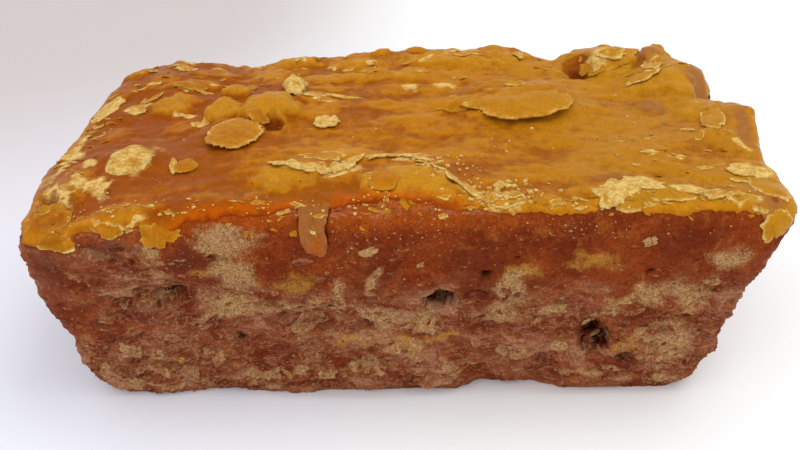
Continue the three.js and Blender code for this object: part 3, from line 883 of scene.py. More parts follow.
# %% The colour of rough sugar
def clean_sugar(finish, blotch, film, rough, raised):
    """Red-brown sugar with caramel, brown, dark and pale tones, before any dust. Raised relief is painted
    lighter and warmer, as painted light.
    """
    broad = finish.noise(**BROAD)
    # Broad tone, and painted light: raised relief is lighter and pits darker.
    tone_and_relief_light = finish.band(finish.sum(broad, finish.times(raised, 0.25)), 0.30, 0.62)
    colour = finish.mix(tone_and_relief_light, DEEP_RED, RED_BROWN)
    warm = finish.sum(blotch, finish.times(rough, 0.10), finish.times(raised, 0.08))
    colour = finish.mix(finish.times(finish.band(warm, 0.48, 0.74), 0.52), colour, CARAMEL)
    browned = finish.band(finish.sum(finish.times(rough, 0.9), finish.times(film, 0.8)), 0.45, 1.15)
    colour = finish.mix(finish.times(browned, 0.75), colour, BROWN)
    wide_tone = finish.noise(**WIDE_TONE)
    darker = finish.times(finish.band(wide_tone, 0.52, 0.40), finish.band(rough, 0.1, 0.6, 0.35, 0.8))
    colour = finish.mix(darker, colour, DEEP_RED)
    paler = finish.times(finish.band(wide_tone, 0.54, 0.66), finish.band(rough, 0.2, 0.8))
    return finish.mix(finish.times(paler, 0.6), colour, ROSE)


def rim_glow(finish, colour, blotch):
    """Light comes through the sugar just under the rim, most of all left of the middle."""
    glow = finish.band(finish.sum(finish.along("Z"), finish.times(blotch, 0.012)), 0.053, 0.0605)
    glow = finish.times(glow, finish.band(finish.along("X"), 0.005, 0.035, 0.75, 0.30))
    return finish.mix(glow, colour, GLOW_ORANGE)


def torn_sugar(finish, colour, rough):
    """Dark cracks and pale veins, only where the sugar is torn."""
    torn = finish.band(rough, 0.25, 0.80)
    cracks = finish.band(finish.noise(**CRACKS), 0.44, 0.33)
    colour = finish.mix(finish.times(finish.times(cracks, torn), 0.9), colour, DEEP_RED)
    vein = finish.band(finish.size_of(finish.sum(finish.noise(**TANGLE), -0.5)), 0.035, 0.0)
    return finish.mix(finish.times(finish.times(vein, torn), 0.5), colour, ROSE)


def sugar_colour(finish, powder, gold, dark, rough, raised):
    """The colour of rough sugar, and how dusty it is. Each mask is a value or an output."""
    fine = finish.noise(**FINE)
    grit = finish.noise(**GRIT)
    blotch = finish.noise(**BLOTCH)
    film = finish.noise(**FILM)
    colour = rim_glow(finish, clean_sugar(finish, blotch, film, rough, raised), blotch)
    golden = finish.band(finish.sum(gold, finish.times(blotch, 1.4), finish.times(fine, 0.5)), 0.75, 1.70)
    colour = finish.mix(finish.times(golden, 0.7), colour, GOLDEN)
    # Dustier where the relief is raised and rough.
    dust = finish.sum(
        powder, finish.times(film, 1.1), finish.times(fine, 0.35), finish.times(grit, 0.4),
        finish.times(finish.times(rough, raised), 0.30), finish.times(rough, 0.24))
    dusty = finish.band(dust, 0.80, 1.60)
    speckled = finish.band(finish.sum(finish.times(fine, 0.6), grit), 0.5, 1.1)
    dust_colour = finish.mix(speckled, BEIGE_SHADE, BEIGE)
    colour = finish.mix(finish.times(dusty, 0.86), colour, dust_colour)
    # Dark stains, and painted shade at pits and under ledges; the deepest pits are painted near-black.
    stained_and_shaded = finish.band(finish.sum(dark, finish.times(blotch, 0.5)), 0.10, 0.60)
    colour = finish.mix(finish.times(stained_and_shaded, 0.75), colour, STAIN_AND_SHADE)
    colour = finish.mix(finish.band(dark, 0.35, 0.85), colour, PIT_SHADE)
    colour = torn_sugar(finish, colour, rough)
    # Pale grains of sugar, partly painted glints.
    some_places = finish.band(finish.noise(2.4, 1, shift=6), 0.52, 0.62)
    grains = finish.times(finish.band(finish.cells(1.05), 0.15, 0.07), some_places)
    colour = finish.mix(finish.times(grains, 0.65), colour, PALE)
    shade = finish.mix(finish.band(finish.sum(fine, grit), 0.7, 1.3), GREY_LOW, GREY_HIGH)
    return finish.mix(0.65, colour, shade, "OVERLAY"), dusty


print("colour of rough sugar ready")

# %% Rough sugar
GLOW_RADIUS = (1.0, 0.32, 0.10)  # red light goes deepest
WARM_SHEEN = (1.0, 0.75, 0.50)
SUGAR_GLOW_DEPTH = 1.2  # mm


def sugar_relief(finish):
    relief = finish.bump(finish.noise(**GRIT), 0.10, 0.8)
    relief = finish.bump(finish.noise(**FINE), 0.30, 0.9, relief)
    relief = finish.bump(finish.noise(**CRACKS), 0.7, 0.7, relief)
    return finish.bump(finish.noise(**LAYERS), 0.6, 0.6, relief)


def set_sugar(finish, colour, dusty, clean_roughness):
    finish.set(
        Base_Color=colour,
        Roughness=finish.band(dusty, 0.0, 1.0, clean_roughness, 0.85),
        Normal=sugar_relief(finish),
        Subsurface_Weight=0.12,
        Subsurface_Radius=GLOW_RADIUS,
        Subsurface_Scale=SUGAR_GLOW_DEPTH * MM,
        Specular_IOR_Level=0.03,
        Specular_Tint=WARM_SHEEN,
    )


sugar = Finish("rough_sugar")
colour, dusty = sugar_colour(sugar, *[sugar.mask(name) for name in masks])
set_sugar(sugar, colour, dusty, 0.38)
block = finished("sugar_body", body, sugar.material)
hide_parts("jaggery_block")

# %% [markdown]
# ## The amber skin
# On the real block the skin is a thin layer with a ragged edge. It could be painted on the body,
# but then its edge would cast no shadow. So it is its own thin sheet, laid on the body and closed
# underneath. It starts as the top cells of the same even form, cut finer, most of all near the
# front rim, and what lies outside its edge is dropped.

# %% Skin sheet
LOWEST_CELL = 38  # mm
FACING_AWAY = -0.3
KEEP_MARGIN = 3.0  # how much is kept outside the edge until the cells are fine, in mm
NEAR_RIM_FRONT = -28  # cells in front of this line and near the edge are cut finer, in mm
NEAR_RIM_DEPTH = 5


def drop_faces(bm, unwanted):
    bmesh.ops.delete(bm, geom=[face for face in bm.faces if unwanted(face)], context="FACES")


def near_front_rim(face):
    return middle(face).y < NEAR_RIM_FRONT and skin_depth(middle(face)) < NEAR_RIM_DEPTH


skin = base.copy()
skin.normal_update()
drop_faces(skin, lambda face: middle(face).z < LOWEST_CELL or face.normal.z < FACING_AWAY)
drop_faces(skin, lambda face: skin_depth(middle(face)) < -KEEP_MARGIN)
bmesh.ops.subdivide_edges(skin, edges=skin.edges, cuts=1, use_grid_fill=True)
cut_finer(skin, near_front_rim)
split_odd_faces(skin)
soften(skin, [vert for vert in skin.verts if not vert.is_boundary], 2)
drop_faces(skin, lambda face: skin_depth(middle(face)) < 0)
soften(skin, [vert for vert in skin.verts if vert.is_boundary], 2)
skin.normal_update()
print("skin cells:", len(skin.faces))

# %% [markdown]
# ## A sheet's second side
# A sheet has to be closed before it is exported. A solidify would follow the bumpy surface and
# can throw out spikes where it is steep. Here the sheet is copied and joined to its copy along
# the rim, and the copy is then moved inwards in one calm direction.

# %% A sheet's second side
def copied_verts(bm):
    """Copies a sheet, joins the copy to it along the rim, and returns the copy's points."""
    sheet = list(bm.faces) + list(bm.edges)
    made = bmesh.ops.extrude_face_region(bm, geom=sheet, use_keep_orig=True)["geom"]
    return [part for part in made if isinstance(part, bmesh.types.BMVert)]


print("second side ready")

# %% [markdown]
# ## Spots of the skin
# Pale crust and tan sugar lie on the skin, and its dents and the places beside and under flakes
# get painted shade. They are painted on its points in the same way as the patches of the front,
# because their places are known one by one.

# %% Where the spots are
PALE_SPOTS = [
    # x, y, half length, half depth, turn
    (-67, -12, 7, 7.5, 0), (-82, 17, 3.4, 7.5, 10), (-73.5, 17.5, 2.6, 5.0, -35),
    (-74, 31.5, 3.6, 1.2, 15), (-64, 31, 2.6, 1.6, 0), (-57, 27, 2.4, 1.0, 0), (-53, 4.5, 2.0, 2.8, 30),
    (-31, 27, 3.4, 6.0, 0), (-25, 22, 3.6, 1.4, -10), (-17, 21, 4.0, 1.2, -8), (-21, 18.5, 2.0, 1.6, 0),
    (-10.5, 44, 1.6, 1.6, 0), (-32, 48, 1.4, 3.2, 0), (-67, 48, 3.0, 2.4, 0), (17, 54, 5.5, 3.6, 0),
    (34, 46, 1.6, 2.0, 0), (31.6, 28, 3.0, 2.6, 0), (57, 45, 5.0, 4.0, 30), (66, 25.5, 5.0, 1.4, 35),
    (71.5, 36, 2.2, 5.0, -15), (79, 1.5, 2.4, 6.0, 5), (-18, -15.5, 4.5, 3.0, 0),
    (-24, -19.5, 7, 2.2, -14), (-14, -20.5, 7, 2.2, 25), (2, -15.5, 7, 2.4, 12),
    (9, -22, 6.5, 3.0, -50), (17, -33, 5.5, 2.4, -50), (24, -37, 5.5, 3.2, 0), (50, -31, 6, 2.2, 10),
    (55, -28.5, 3.0, 1.8, 30), (66, -33.5, 6.5, 1.5, -8), (75, -38.5, 4.5, 1.4, -20),
    (81, -25, 4.6, 3.2, -15), (-76, -28, 3.6, 8, -10), (-70, -27, 3.2, 6, 15), (-82, -12, 3, 4, 0),
    (-85, -6, 2.4, 22, 0), (-81, -30, 3, 5, 20), (-60, -40.5, 7, 1.2, 0), (71, -4, 1.8, 0.8, -20),
    (60, -16, 2.2, 0.8, 0), (65.5, -17, 2.0, 0.8, -30), (70, -24, 2.0, 1.2, 0), (82, -12, 2.0, 3.0, 0),
    (-76, -38, 4, 2.4, 0), (25.5, -10.5, 0.9, 2.6, 0), (-58, 10, 3, 2, 0), (3, 26, 3, 2, 0),
    (12, 26, 3, 2.2, 0), (-77, -16, 2.4, 3, 0), (-54, 31, 2, 1, 0), (5, 45, 3, 1.6, 0),
    (-44, 43, 2.6, 2, 0), (-22, 41, 1.6, 1.2, 0),
]
TAN_SPOTS = [
    (-18.3, -42.0, 5.5, 5.0, 0), (80, -36, 5, 7, 0), (86, -2, 3, 12, 0), (82, 30, 3, 10, 0),
    (72, 45, 4, 5, 0), (-78, -30, 6, 10, 0), (-84, -20, 4, 12, 0), (65.5, 10.5, 3.8, 4.2, 0),
    (-70, 44, 8, 5, 0),
]
# Painted shade in the top's hollows and beside and under flakes and crusts.
SHADE_SPOTS = [
    (-67.2, -30, 1.2, 1.0, 0), (-33, -26.3, 0.7, 0.7, 0), (-22.3, -26.2, 0.6, 1.1, 0),
    (-14.3, -6.5, 1.4, 0.4, 40), (-66, -13, 0.7, 0.6, 0), (-34.2, 4.5, 2.8, 4.6, 0),
    (50.5, 36.5, 3.6, 6.0, 0), (14.5, -10, 0.5, 0.4, 0), (-80, -32, 2.4, 3.0, 0),
    (80.5, -40, 1.2, 1.0, 0), (48, -38.5, 5, 1.2, 0), (-35, 27, 0.8, 3.5, 10), (10, 10, 6, 0.8, 0),
    (-55, -17, 1.2, 2.2, 10), (85, 14, 3, 3, 0), (69, 44, 2, 8, 0),
]
SPOTS = {"pale": PALE_SPOTS, "tan": TAN_SPOTS, "dark": SHADE_SPOTS}
spots_here = {name: by_column(landed(spots, on_top)) for name, spots in SPOTS.items()}
print(", ".join(f"{len(spots)} {name}" for name, spots in SPOTS.items()), "spots")

# %% [markdown]
# ## Shape of the skin
# The sheet takes the same relief as the body, so the two fit. It is lifted a little off the body,
# less at its edge, which makes the edge look thin. Its underside lies inwards along the even
# form's own directions, which are kept on the points until then.

# %% Skin shape
SKIN_LIFT = 0.35  # how far the sheet stands off at its edge, in mm
MORE_LIFT = 0.45  # how much further it stands off away from its edge, in mm
SKIN_THICKNESS = 1.5

skin_masks = {name: skin.verts.layers.float.new(name) for name in ("edge", "pale", "tan", "dark", "raised")}
outward = skin.verts.layers.float_vector.new("outward")
for vert in skin.verts:
    point = vert.co / MM
    normal = vert.normal.copy()
    vert[outward] = normal
    depth = skin_depth(point)
    vert[skin_masks["edge"]] = depth
    for name, spots in spots_here.items():
        vert[skin_masks[name]] = patches(spots, point.x, point.y)
    moved, vert[skin_masks["raised"]] = pushed(point, normal)
    lift = SKIN_LIFT + MORE_LIFT * step(0.0, 2.5, depth) * (0.6 + 0.8 * noise.noise(point * 0.35))
    vert.co = (moved + normal * lift) * MM
for vert in copied_verts(skin):
    vert.co -= vert[outward] * SKIN_THICKNESS * MM
skin.verts.layers.float_vector.remove(outward)
print("skin faces with its underside:", len(skin.faces))

# %% [markdown]
# ## Finish of the skin
# The skin is amber with long flow lines, redder at the left and more olive at the right. Where it
# thins out at the rim it is painted a brighter gold, as a painted glow of light through it, and its
# low and raised places get painted shade and light. Real glass could make a clear skin, but it is
# slow to render, and this skin is too cloudy to see through. A plain glossy finish with some
# subsurface light and a gold sheen gives the same look.

# %% Colours and patterns of amber
AMBER = (0.430, 0.150, 0.004)
AMBER_RED = (0.355, 0.090, 0.003)
# Painted shade of amber in low places.
AMBER_DEEP_SHADE = (0.250, 0.048, 0.002)
AMBER_LIGHT = (0.500, 0.230, 0.014)
AMBER_OLIVE = (0.425, 0.180, 0.009)
# Painted glow of light through the thin rim: gold at the ends, orange in the middle.
RIM_GOLD = (0.500, 0.205, 0.008)
RIM_ORANGE = (0.455, 0.085, 0.001)
RIM_RED = (0.300, 0.042, 0.003)
CRUST = (0.70, 0.49, 0.17)
CRUST_SHADE = (0.56, 0.32, 0.07)
TAN = (0.315, 0.118, 0.034)
SHADOW = (0.190, 0.038, 0.004)
# sizes are in mm
WIDE = dict(size=30, detail=2, rough=0.5)
FLOW = dict(size=6, detail=4, rough=0.6, stretch=(0.35, 1, 1), warp=0.5)
MOTTLE = dict(size=2.4, detail=3, rough=0.6, shift=5)
SPECK = dict(size=0.7, detail=2, rough=0.6, shift=3)
print("amber flows in lines about", FLOW["size"], "mm apart")

# %% The colour of amber
def clear_amber(finish, flow, mottle, raised):
    """Amber without its rim and crusts: redder left, olive right, painted shade deep in its low places,
    painted light on its raised places, and a painted sheen towards the back.
    """
    wide = finish.noise(**WIDE)
    across = finish.along("X")
    away = finish.along("Y")
    from_left = finish.band(finish.sum(across, finish.times(wide, 0.05)), -0.045, 0.01)
    colour = finish.mix(from_left, AMBER_RED, AMBER)
    colour = finish.mix(finish.times(finish.band(flow, 0.45, 0.75), 0.4), colour, AMBER_LIGHT)
    right = finish.band(finish.sum(across, finish.times(wide, 0.04)), 0.02, 0.075)
    colour = finish.mix(finish.times(right, 0.75), colour, AMBER_OLIVE)
    # Painted sheen: lighter towards the back.
    back = finish.band(finish.sum(away, finish.times(wide, 0.03)), 0.02, 0.07)
    colour = finish.mix(finish.times(back, 0.2), colour, AMBER_LIGHT)
    # Painted shade in low places, more at the left, and painted light on raised places.
    height = finish.sum(raised, finish.times(mottle, 0.8))
    low = finish.band(finish.sum(height, finish.times(flow, 0.6), finish.times(across, 5)), 1.05, 0.40)
    colour = finish.mix(finish.times(low, 0.72), colour, AMBER_DEEP_SHADE)
    return finish.mix(finish.times(finish.band(height, 0.75, 1.9), 0.75), colour, AMBER_LIGHT)


def amber_rim(finish, colour, flow, mottle, edge):
    """The edge where the skin thins, painted bright as a glow of light through it: gold at both ends, orange
    with a red fringe in the middle.
    """
    across = finish.along("X")
    gold_side = finish.sum(finish.band(across, -0.045, -0.062), finish.band(across, 0.0, 0.03))
    uneven_edge = finish.sum(edge, finish.times(mottle, 2.4), finish.times(flow, 2.4))
    # Painted glow near the skin's edge.
    thin_glow = finish.times(finish.band(uneven_edge, 9.5, 4.0), 0.8)
    colour = finish.mix(thin_glow, colour, finish.mix(gold_side, RIM_ORANGE, RIM_GOLD))
    fringe = finish.times(finish.band(uneven_edge, 4.4, 2.6), finish.band(gold_side, 1.0, 0.0, 0.35, 0.9))
    return finish.mix(fringe, colour, RIM_RED)


def amber_colour(finish, edge, pale, tan, dark, raised):
    """The colour of the clear skin, and how crusted it is. Each mask is a value or an output."""
    flow = finish.noise(**FLOW)
    mottle = finish.noise(**MOTTLE)
    speck = finish.noise(**SPECK)
    colour = amber_rim(finish, clear_amber(finish, flow, mottle, raised), flow, mottle, edge)
    tanned = finish.band(finish.sum(tan, finish.times(mottle, 0.6)), 0.25, 0.8)
    colour = finish.mix(finish.times(tanned, 0.75), colour, TAN)
    uneven_pale = finish.sum(pale, finish.times(mottle, 0.8), finish.times(speck, 0.25))
    crusted = finish.band(uneven_pale, 0.55, 1.10)
    crust_colour = finish.mix(finish.band(finish.sum(mottle, speck), 0.75, 1.2), CRUST_SHADE, CRUST)
    colour = finish.mix(finish.times(crusted, 0.88), colour, crust_colour)
    dotted = finish.times(finish.band(finish.cells(1.1, shift=2), 0.16, 0.08), crusted)
    colour = finish.mix(finish.times(dotted, 0.5), colour, CRUST_SHADE)
    darkened = finish.band(finish.sum(dark, finish.times(mottle, 0.5)), 0.25, 0.75)
    colour = finish.mix(finish.times(darkened, 0.7), colour, SHADOW)
    some_places = finish.band(finish.noise(5, 1, shift=9), 0.5, 0.62)
    dots = finish.times(finish.band(finish.cells(1.6), 0.10, 0.05), some_places)
    colour = finish.mix(finish.times(dots, 0.6), colour, PALE)
    shade = finish.mix(finish.band(finish.sum(speck, mottle), 0.7, 1.3), GREY_LOW, GREY_HIGH)
    return finish.mix(0.25, colour, shade, "OVERLAY"), crusted


print("colour of amber ready")

# %% Amber
GOLD_SHEEN = (1.0, 0.72, 0.28)
SKIN_GLOW_DEPTH = 2.0  # mm


def amber_relief(finish):
    relief = finish.bump(finish.noise(**SPECK), 0.06, 0.6)
    relief = finish.bump(finish.noise(**MOTTLE), 0.26, 0.6, relief)
    return finish.bump(finish.noise(**FLOW), 0.3, 0.5, relief)


def set_amber(finish, colour, crusted, depth):
    finish.set(
        Base_Color=colour,
        Roughness=finish.band(crusted, 0.0, 1.0, 0.30, 0.78),
        Normal=amber_relief(finish),
        Subsurface_Weight=0.2,
        Subsurface_Radius=GLOW_RADIUS,
        Subsurface_Scale=depth * MM,
        Specular_IOR_Level=0.035,
        Specular_Tint=GOLD_SHEEN,
    )


amber = Finish("amber_skin")
colour, crusted = amber_colour(amber, *[amber.mask(name) for name in skin_masks])
set_amber(amber, colour, crusted, SKIN_GLOW_DEPTH)
finished("amber_skin", skin, amber.material)
base.free()

# %% [markdown]
# ## Laying things on the block
# Flakes, crusts, shards and crumbs all lie on the block. They could be dropped by a simulation,
# but then none would land where the picture has it. So each is laid at its place from outside.
# A side of the block is given by three directions: across, up and outward. A place on that side
# is then two numbers in millimetres, and a ray finds the surface under it.

# %% The sides and a landing
SIDES = {
    # name: across, up, outward
    "top": (Vector((1, 0, 0)), Vector((0, 1, 0)), Vector((0, 0, 1))),
    "front": (Vector((1, 0, 0)), Vector((0, 0, 1)), Vector((0, -1, 0))),
    "right": (Vector((0, 1, 0)), Vector((0, 0, 1)), Vector((1, 0, 0))),
    "back": (Vector((-1, 0, 0)), Vector((0, 0, 1)), Vector((0, 1, 0))),
    "left": (Vector((0, -1, 0)), Vector((0, 0, 1)), Vector((-1, 0, 0))),
}
FAR = 200  # how far outside the block a ray starts, in mm
ground = [BVHTree.FromBMesh(body), BVHTree.FromBMesh(skin)]


def height_on(side, across, up, missing=None):
    """How far out the block's surface is at a place on a side, in mm."""
    across_way, up_way, out = SIDES[side]
    start = (across_way * across + up_way * up + out * FAR) * MM
    hits = [tree.ray_cast(start, -out)[0] for tree in ground]
    heights = [hit.dot(out) / MM for hit in hits if hit is not None]
    return max(heights) if heights else missing


print("the top is", round(height_on("top", 0, 0), 1), "mm up")

# %% [markdown]
# ## A pile of small things
# Hundreds of flakes are kept as one piece. Blender's operators slow down in a big mesh, so each
# flake is shaped in a small mesh of its own and then moved into the pile. Two values go with
# every point: its tint, and how near it is to the rim of its flake.

# %% Piles
carrier = bpy.data.meshes.new("carrier")


def flake_layers(bm):
    """The layers that hold each point's tint and how near the rim it is."""
    layers = bm.verts.layers.float
    return layers.get("tint") or layers.new("tint"), layers.get("rim") or layers.new("rim")


def new_pile():
    """An empty bmesh that is ready for flakes."""
    bm = bmesh.new()
    flake_layers(bm)
    return bm


def move_into(pile, bm):
    """Adds a small bmesh to a pile."""
    bm.to_mesh(carrier)
    bm.free()
    pile.from_mesh(carrier)


print("piles ready")

# %% [markdown]
# ## A flake
# One helper makes every flake, because modelling each by hand would take days and look no better.
# A small square grid is bent into a disc, its outline is made ragged with noise, and it is laid
# over the ground: close at the back edge and proud of it at the front edge. Then its second side
# is added, which closes it.

# %% Under a flake
RIM_SAMPLES = 8
SAMPLE_SHARE = 0.55  # where the ground is felt, in shares of the flake's size
STEEPEST = 1.5  # steepest slope that a flake lies on


def bed_under(side, at, size):
    """The mean height under a flake's outline, and how the ground slopes across and up it."""
    felt = []
    for number in range(RIM_SAMPLES):
        angle = 2 * math.pi * number / RIM_SAMPLES
        aside = SAMPLE_SHARE * size[0] * math.cos(angle)
        above = SAMPLE_SHARE * size[1] * math.sin(angle)
        height = height_on(side, at[0] + aside, at[1] + above)
        if height is not None:
            felt.append((aside, above, height))
    mean = sum(height for _, _, height in felt) / len(felt)
    slopes = []
    for axis in (0, 1):
        weight = max(1e-3, sum(spot[axis] ** 2 for spot in felt))
        slope = sum(spot[axis] * (spot[2] - mean) for spot in felt) / weight
        slopes.append(max(-STEEPEST, min(STEEPEST, slope)))
    return mean, slopes


print("the top slopes by", [round(slope, 2) for slope in bed_under("top", (0, 0), (10, 10))[1]])

# %% A helper that adds a flake
DROP = 2.5  # how far a flake bends down past an edge, in mm
FLAKE_EDGE = 0.35  # thickness of a flake at its rim, in mm
LIFT_SHARE = 0.55  # a flake is lifted by this share of its lift
SUNK = 0.15  # how deep a flake sits in the surface, in mm


def outline_at(disc, size, ragged, teeth, seed):
    """How far a point of the disc is pulled out or in, to make the outline uneven."""
    reach = disc.length
    way = disc / reach if reach > 1e-6 else disc
    wander = 1 + ragged * 1.8 * noise.fractal(way * 1.3 + Vector((seed, 0, seed)), 1.0, 2.0, 4) * reach
    return wander + teeth * abs(noise.noise(way * size[0] * 0.6 + Vector((0, seed, 3)))) * reach ** 3


def add_flake(pile, side, at, size, turn=0, lift=(0.1, 0.8), thick=0.7, drape=0.6, ragged=0.2, teeth=0.0,
              curl=0.0, cells=12, seed=0.0, tint=0.5, dimple=0.0):
    """Adds one flake that is thick in its middle and thin at its rim. Lift is for back and front."""
    across_way, up_way, out = SIDES[side]
    bed, slopes = bed_under(side, at, size)
    bm = new_pile()
    tints, rims = flake_layers(bm)
    dome = thick - FLAKE_EDGE
    for vert in bmesh.ops.create_grid(bm, x_segments=cells, y_segments=cells, size=1.0)["verts"]:
        x, y = vert.co.x, vert.co.y
        disc = Vector((x * math.sqrt(1 - y * y / 2), y * math.sqrt(1 - x * x / 2), 0))
        reach = disc.length
        wander = outline_at(disc, size, ragged, teeth, seed)
        aside, above = turned(disc.x * wander * size[0] / 2, disc.y * wander * size[1] / 2, -turn)
        plane = bed + slopes[0] * aside + slopes[1] * above
        ground_here = height_on(side, at[0] + aside, at[1] + above, plane)
        rise = LIFT_SHARE * (lift[1] + (lift[0] - lift[1]) * step(-1.0, 0.9, disc.y)) - SUNK
        step_down = max(-DROP, min(DROP, ground_here - plane))
        height = plane + step_down * drape + rise + curl * reach ** 4 + dome * (1 - reach * reach)
        height += 0.35 * noise.noise(Vector((aside / 4.5, above / 4.5, seed)))
        height += 0.15 * noise.noise(Vector((aside, above, seed)))
        height -= dimple * step(0.45, 0.2, reach)
        vert.co = (across_way * (at[0] + aside) + up_way * (at[1] + above) + out * height) * MM
        vert[tints] = tint
        vert[rims] = reach
    bmesh.ops.translate(bm, verts=copied_verts(bm), vec=-out * FLAKE_EDGE * MM)
    move_into(pile, bm)


print("flake helper ready")

# %% [markdown]
# ## Flakes and crusts of the top
# The largest are a round golden flake at the left and a long one behind the middle, both lifted
# at their front edges. Pale crusts lie along the front rim, at the right corner and at the left
# edge, the skin hangs over the front in lips, and a curled ridge of crust runs across the middle.
# Strewing them all by chance would be quicker, but these are what the eye knows the block by.
# Each tint runs from 0, amber like the skin, to 1, pale crust.

# %% Flakes of the top
TOP_FLAKES = [
    # place, size, and what differs from a plain flake
    ((-43.0, -1.6), (13.5, 14.5), dict(lift=(1.0, 2.6), thick=0.8, drape=0.15, ragged=0.08, teeth=0.22,
                                       cells=36, tint=0.46)),
    ((30.5, 14.5), (25.5, 17), dict(lift=(0.2, 3.8), thick=1.2, drape=0.15, ragged=0.16, teeth=0.06,
                                    cells=36, tint=0.42)),
    ((14.5, 15.0), (13, 6), dict(lift=(0.1, 0.7), ragged=0.2, drape=0.9, cells=18, tint=0.36, turn=6)),
    ((-38.2, 7.6), (4.6, 5.2), dict(lift=(0.9, 2.6), thick=1.6, drape=0.1, ragged=0.12, cells=10, tint=0.4)),
    ((-31.2, 27), (6.5, 9.5), dict(lift=(1.8, 2.6), thick=2.4, drape=0.1, ragged=0.24, teeth=0.1, cells=14,
                                   tint=0.85, turn=12)),
    ((-25, 22), (8, 3), dict(lift=(0.2, 0.9), ragged=0.3, teeth=0.2, cells=12, tint=0.75, turn=-10)),
    ((-17, 20.8), (9, 3), dict(lift=(0.2, 0.9), ragged=0.3, teeth=0.2, cells=12, tint=0.8, turn=-8)),
    ((-21, 18), (5, 2.6), dict(lift=(0.1, 0.6), ragged=0.3, cells=9, tint=0.6)),
    ((-19.8, 4.8), (6.5, 7), dict(lift=(0.3, 1.9), thick=0.7, drape=0.2, ragged=0.2, teeth=0.2, cells=12,
                                  tint=0.85)),
    ((-55.0, -17.2), (2.0, 6.4), dict(lift=(0.2, 1.3), ragged=0.12, cells=8, tint=0.75, turn=14)),
    ((-52.0, -17.4), (5.2, 6.4), dict(lift=(0.1, 1.3), ragged=0.12, cells=10, tint=0.35, turn=-22)),
    ((-18.5, -15.3), (10, 6.5), dict(lift=(0.1, 0.8), ragged=0.3, teeth=0.15, cells=16, tint=0.55)),
    ((-3.2, -28.5), (7, 9.5), dict(lift=(0.2, 1.2), thick=0.9, ragged=0.12, cells=14, tint=0.12, turn=4)),
    ((60, 44), (16, 10), dict(lift=(0.1, 1.6), thick=0.9, drape=0.5, ragged=0.18, teeth=0.08, cells=22,
                              tint=0.35, turn=5)),
    ((61, 43.5), (8, 6), dict(lift=(0.7, 1.8), drape=0.5, ragged=0.25, cells=12, tint=0.68)),
    ((71.2, 36), (4, 9.5), dict(lift=(0.2, 1.1), ragged=0.2, cells=12, tint=0.75, turn=15)),
    ((66.5, 26), (11.5, 4.2), dict(lift=(0.1, 1.9), thick=0.9, ragged=0.16, cells=14, tint=0.62, turn=30)),
    ((79, 1.5), (5.6, 12.5), dict(lift=(0.2, 1.1), thick=0.8, ragged=0.2, cells=14, tint=0.55, turn=-4)),
    ((31.6, 28), (6.2, 5.6), dict(lift=(0.4, 1.0), thick=0.9, ragged=0.1, curl=-0.4, dimple=1.0, cells=14,
                                  tint=0.5)),
    ((-82, 16.5), (7, 15.5), dict(lift=(0.3, 0.8), thick=0.8, ragged=0.2, teeth=0.1, cells=16, tint=0.92,
                                  turn=-10)),
    ((-73.5, 17.5), (5, 9.5), dict(lift=(0.1, 0.9), ragged=0.3, teeth=0.2, cells=14, tint=0.75, turn=35)),
    ((-71.5, 24), (6.5, 3), dict(lift=(0.1, 0.8), ragged=0.3, cells=10, tint=0.7, turn=30)),
    ((-74, 31.5), (7.2, 2.4), dict(lift=(0.1, 1.0), ragged=0.25, teeth=0.2, cells=10, tint=0.8, turn=15)),
    ((-62, 31), (9, 3.8), dict(lift=(0.1, 1.2), ragged=0.2, cells=12, tint=0.45, turn=-4)),
    ((-57, 27), (5.5, 2), dict(lift=(0.1, 0.8), ragged=0.2, cells=9, tint=0.7)),
    ((-53.2, 4.6), (3.4, 5.4), dict(lift=(0.2, 0.9), ragged=0.3, teeth=0.3, cells=10, tint=0.8, turn=-30)),
    ((71.5, -4.2), (4, 1.3), dict(lift=(0.2, 0.7), cells=8, tint=0.95, turn=-20)),
    ((73.2, -8), (2, 4.5), dict(lift=(0.1, 0.6), cells=8, tint=0.6, turn=-20)),
    ((60, -15.8), (5, 1.6), dict(lift=(0.1, 0.6), ragged=0.3, cells=9, tint=0.85, turn=10)),
    ((65.5, -17), (4, 1.6), dict(lift=(0.1, 0.6), ragged=0.3, cells=9, tint=0.8, turn=-30)),
    ((55, -22), (1.8, 1.4), dict(lift=(0.2, 0.7), cells=6, tint=0.8)),
    ((70, -24), (3.6, 2), dict(lift=(0.1, 0.7), ragged=0.3, cells=8, tint=0.75)),
    ((76, -30), (4, 2.2), dict(lift=(0.1, 0.7), ragged=0.3, cells=8, tint=0.7, turn=-20)),
    ((33.6, 46), (3.2, 3.6), dict(lift=(0.4, 1.2), cells=8, tint=0.85)),
    ((17, 50.5), (12, 6), dict(lift=(0.1, 0.8), ragged=0.25, cells=14, tint=0.55)),
    ((-10.5, 44), (3.2, 3.2), dict(lift=(0.3, 1.0), cells=8, tint=0.85)),
    ((-32, 47.5), (2.6, 6), dict(lift=(0.2, 1.0), cells=9, tint=0.8, turn=-20)),
    ((-67, -12), (12, 13), dict(lift=(0.1, 0.5), thick=0.6, drape=1.0, ragged=0.08, cells=20, tint=0.82)),
    ((-67, 45), (6, 4), dict(lift=(0.1, 0.9), ragged=0.25, cells=10, tint=0.75)),
    ((25.6, -10.8), (1.4, 5), dict(lift=(0.0, 0.35), cells=8, tint=0.5, turn=6)),
]
flakes = new_pile()
for count, (at, size, ways) in enumerate(TOP_FLAKES):
    add_flake(flakes, "top", on_top(*at), size, seed=1.7 * count + 0.4, **ways)
print(len(TOP_FLAKES), "flakes on the top")

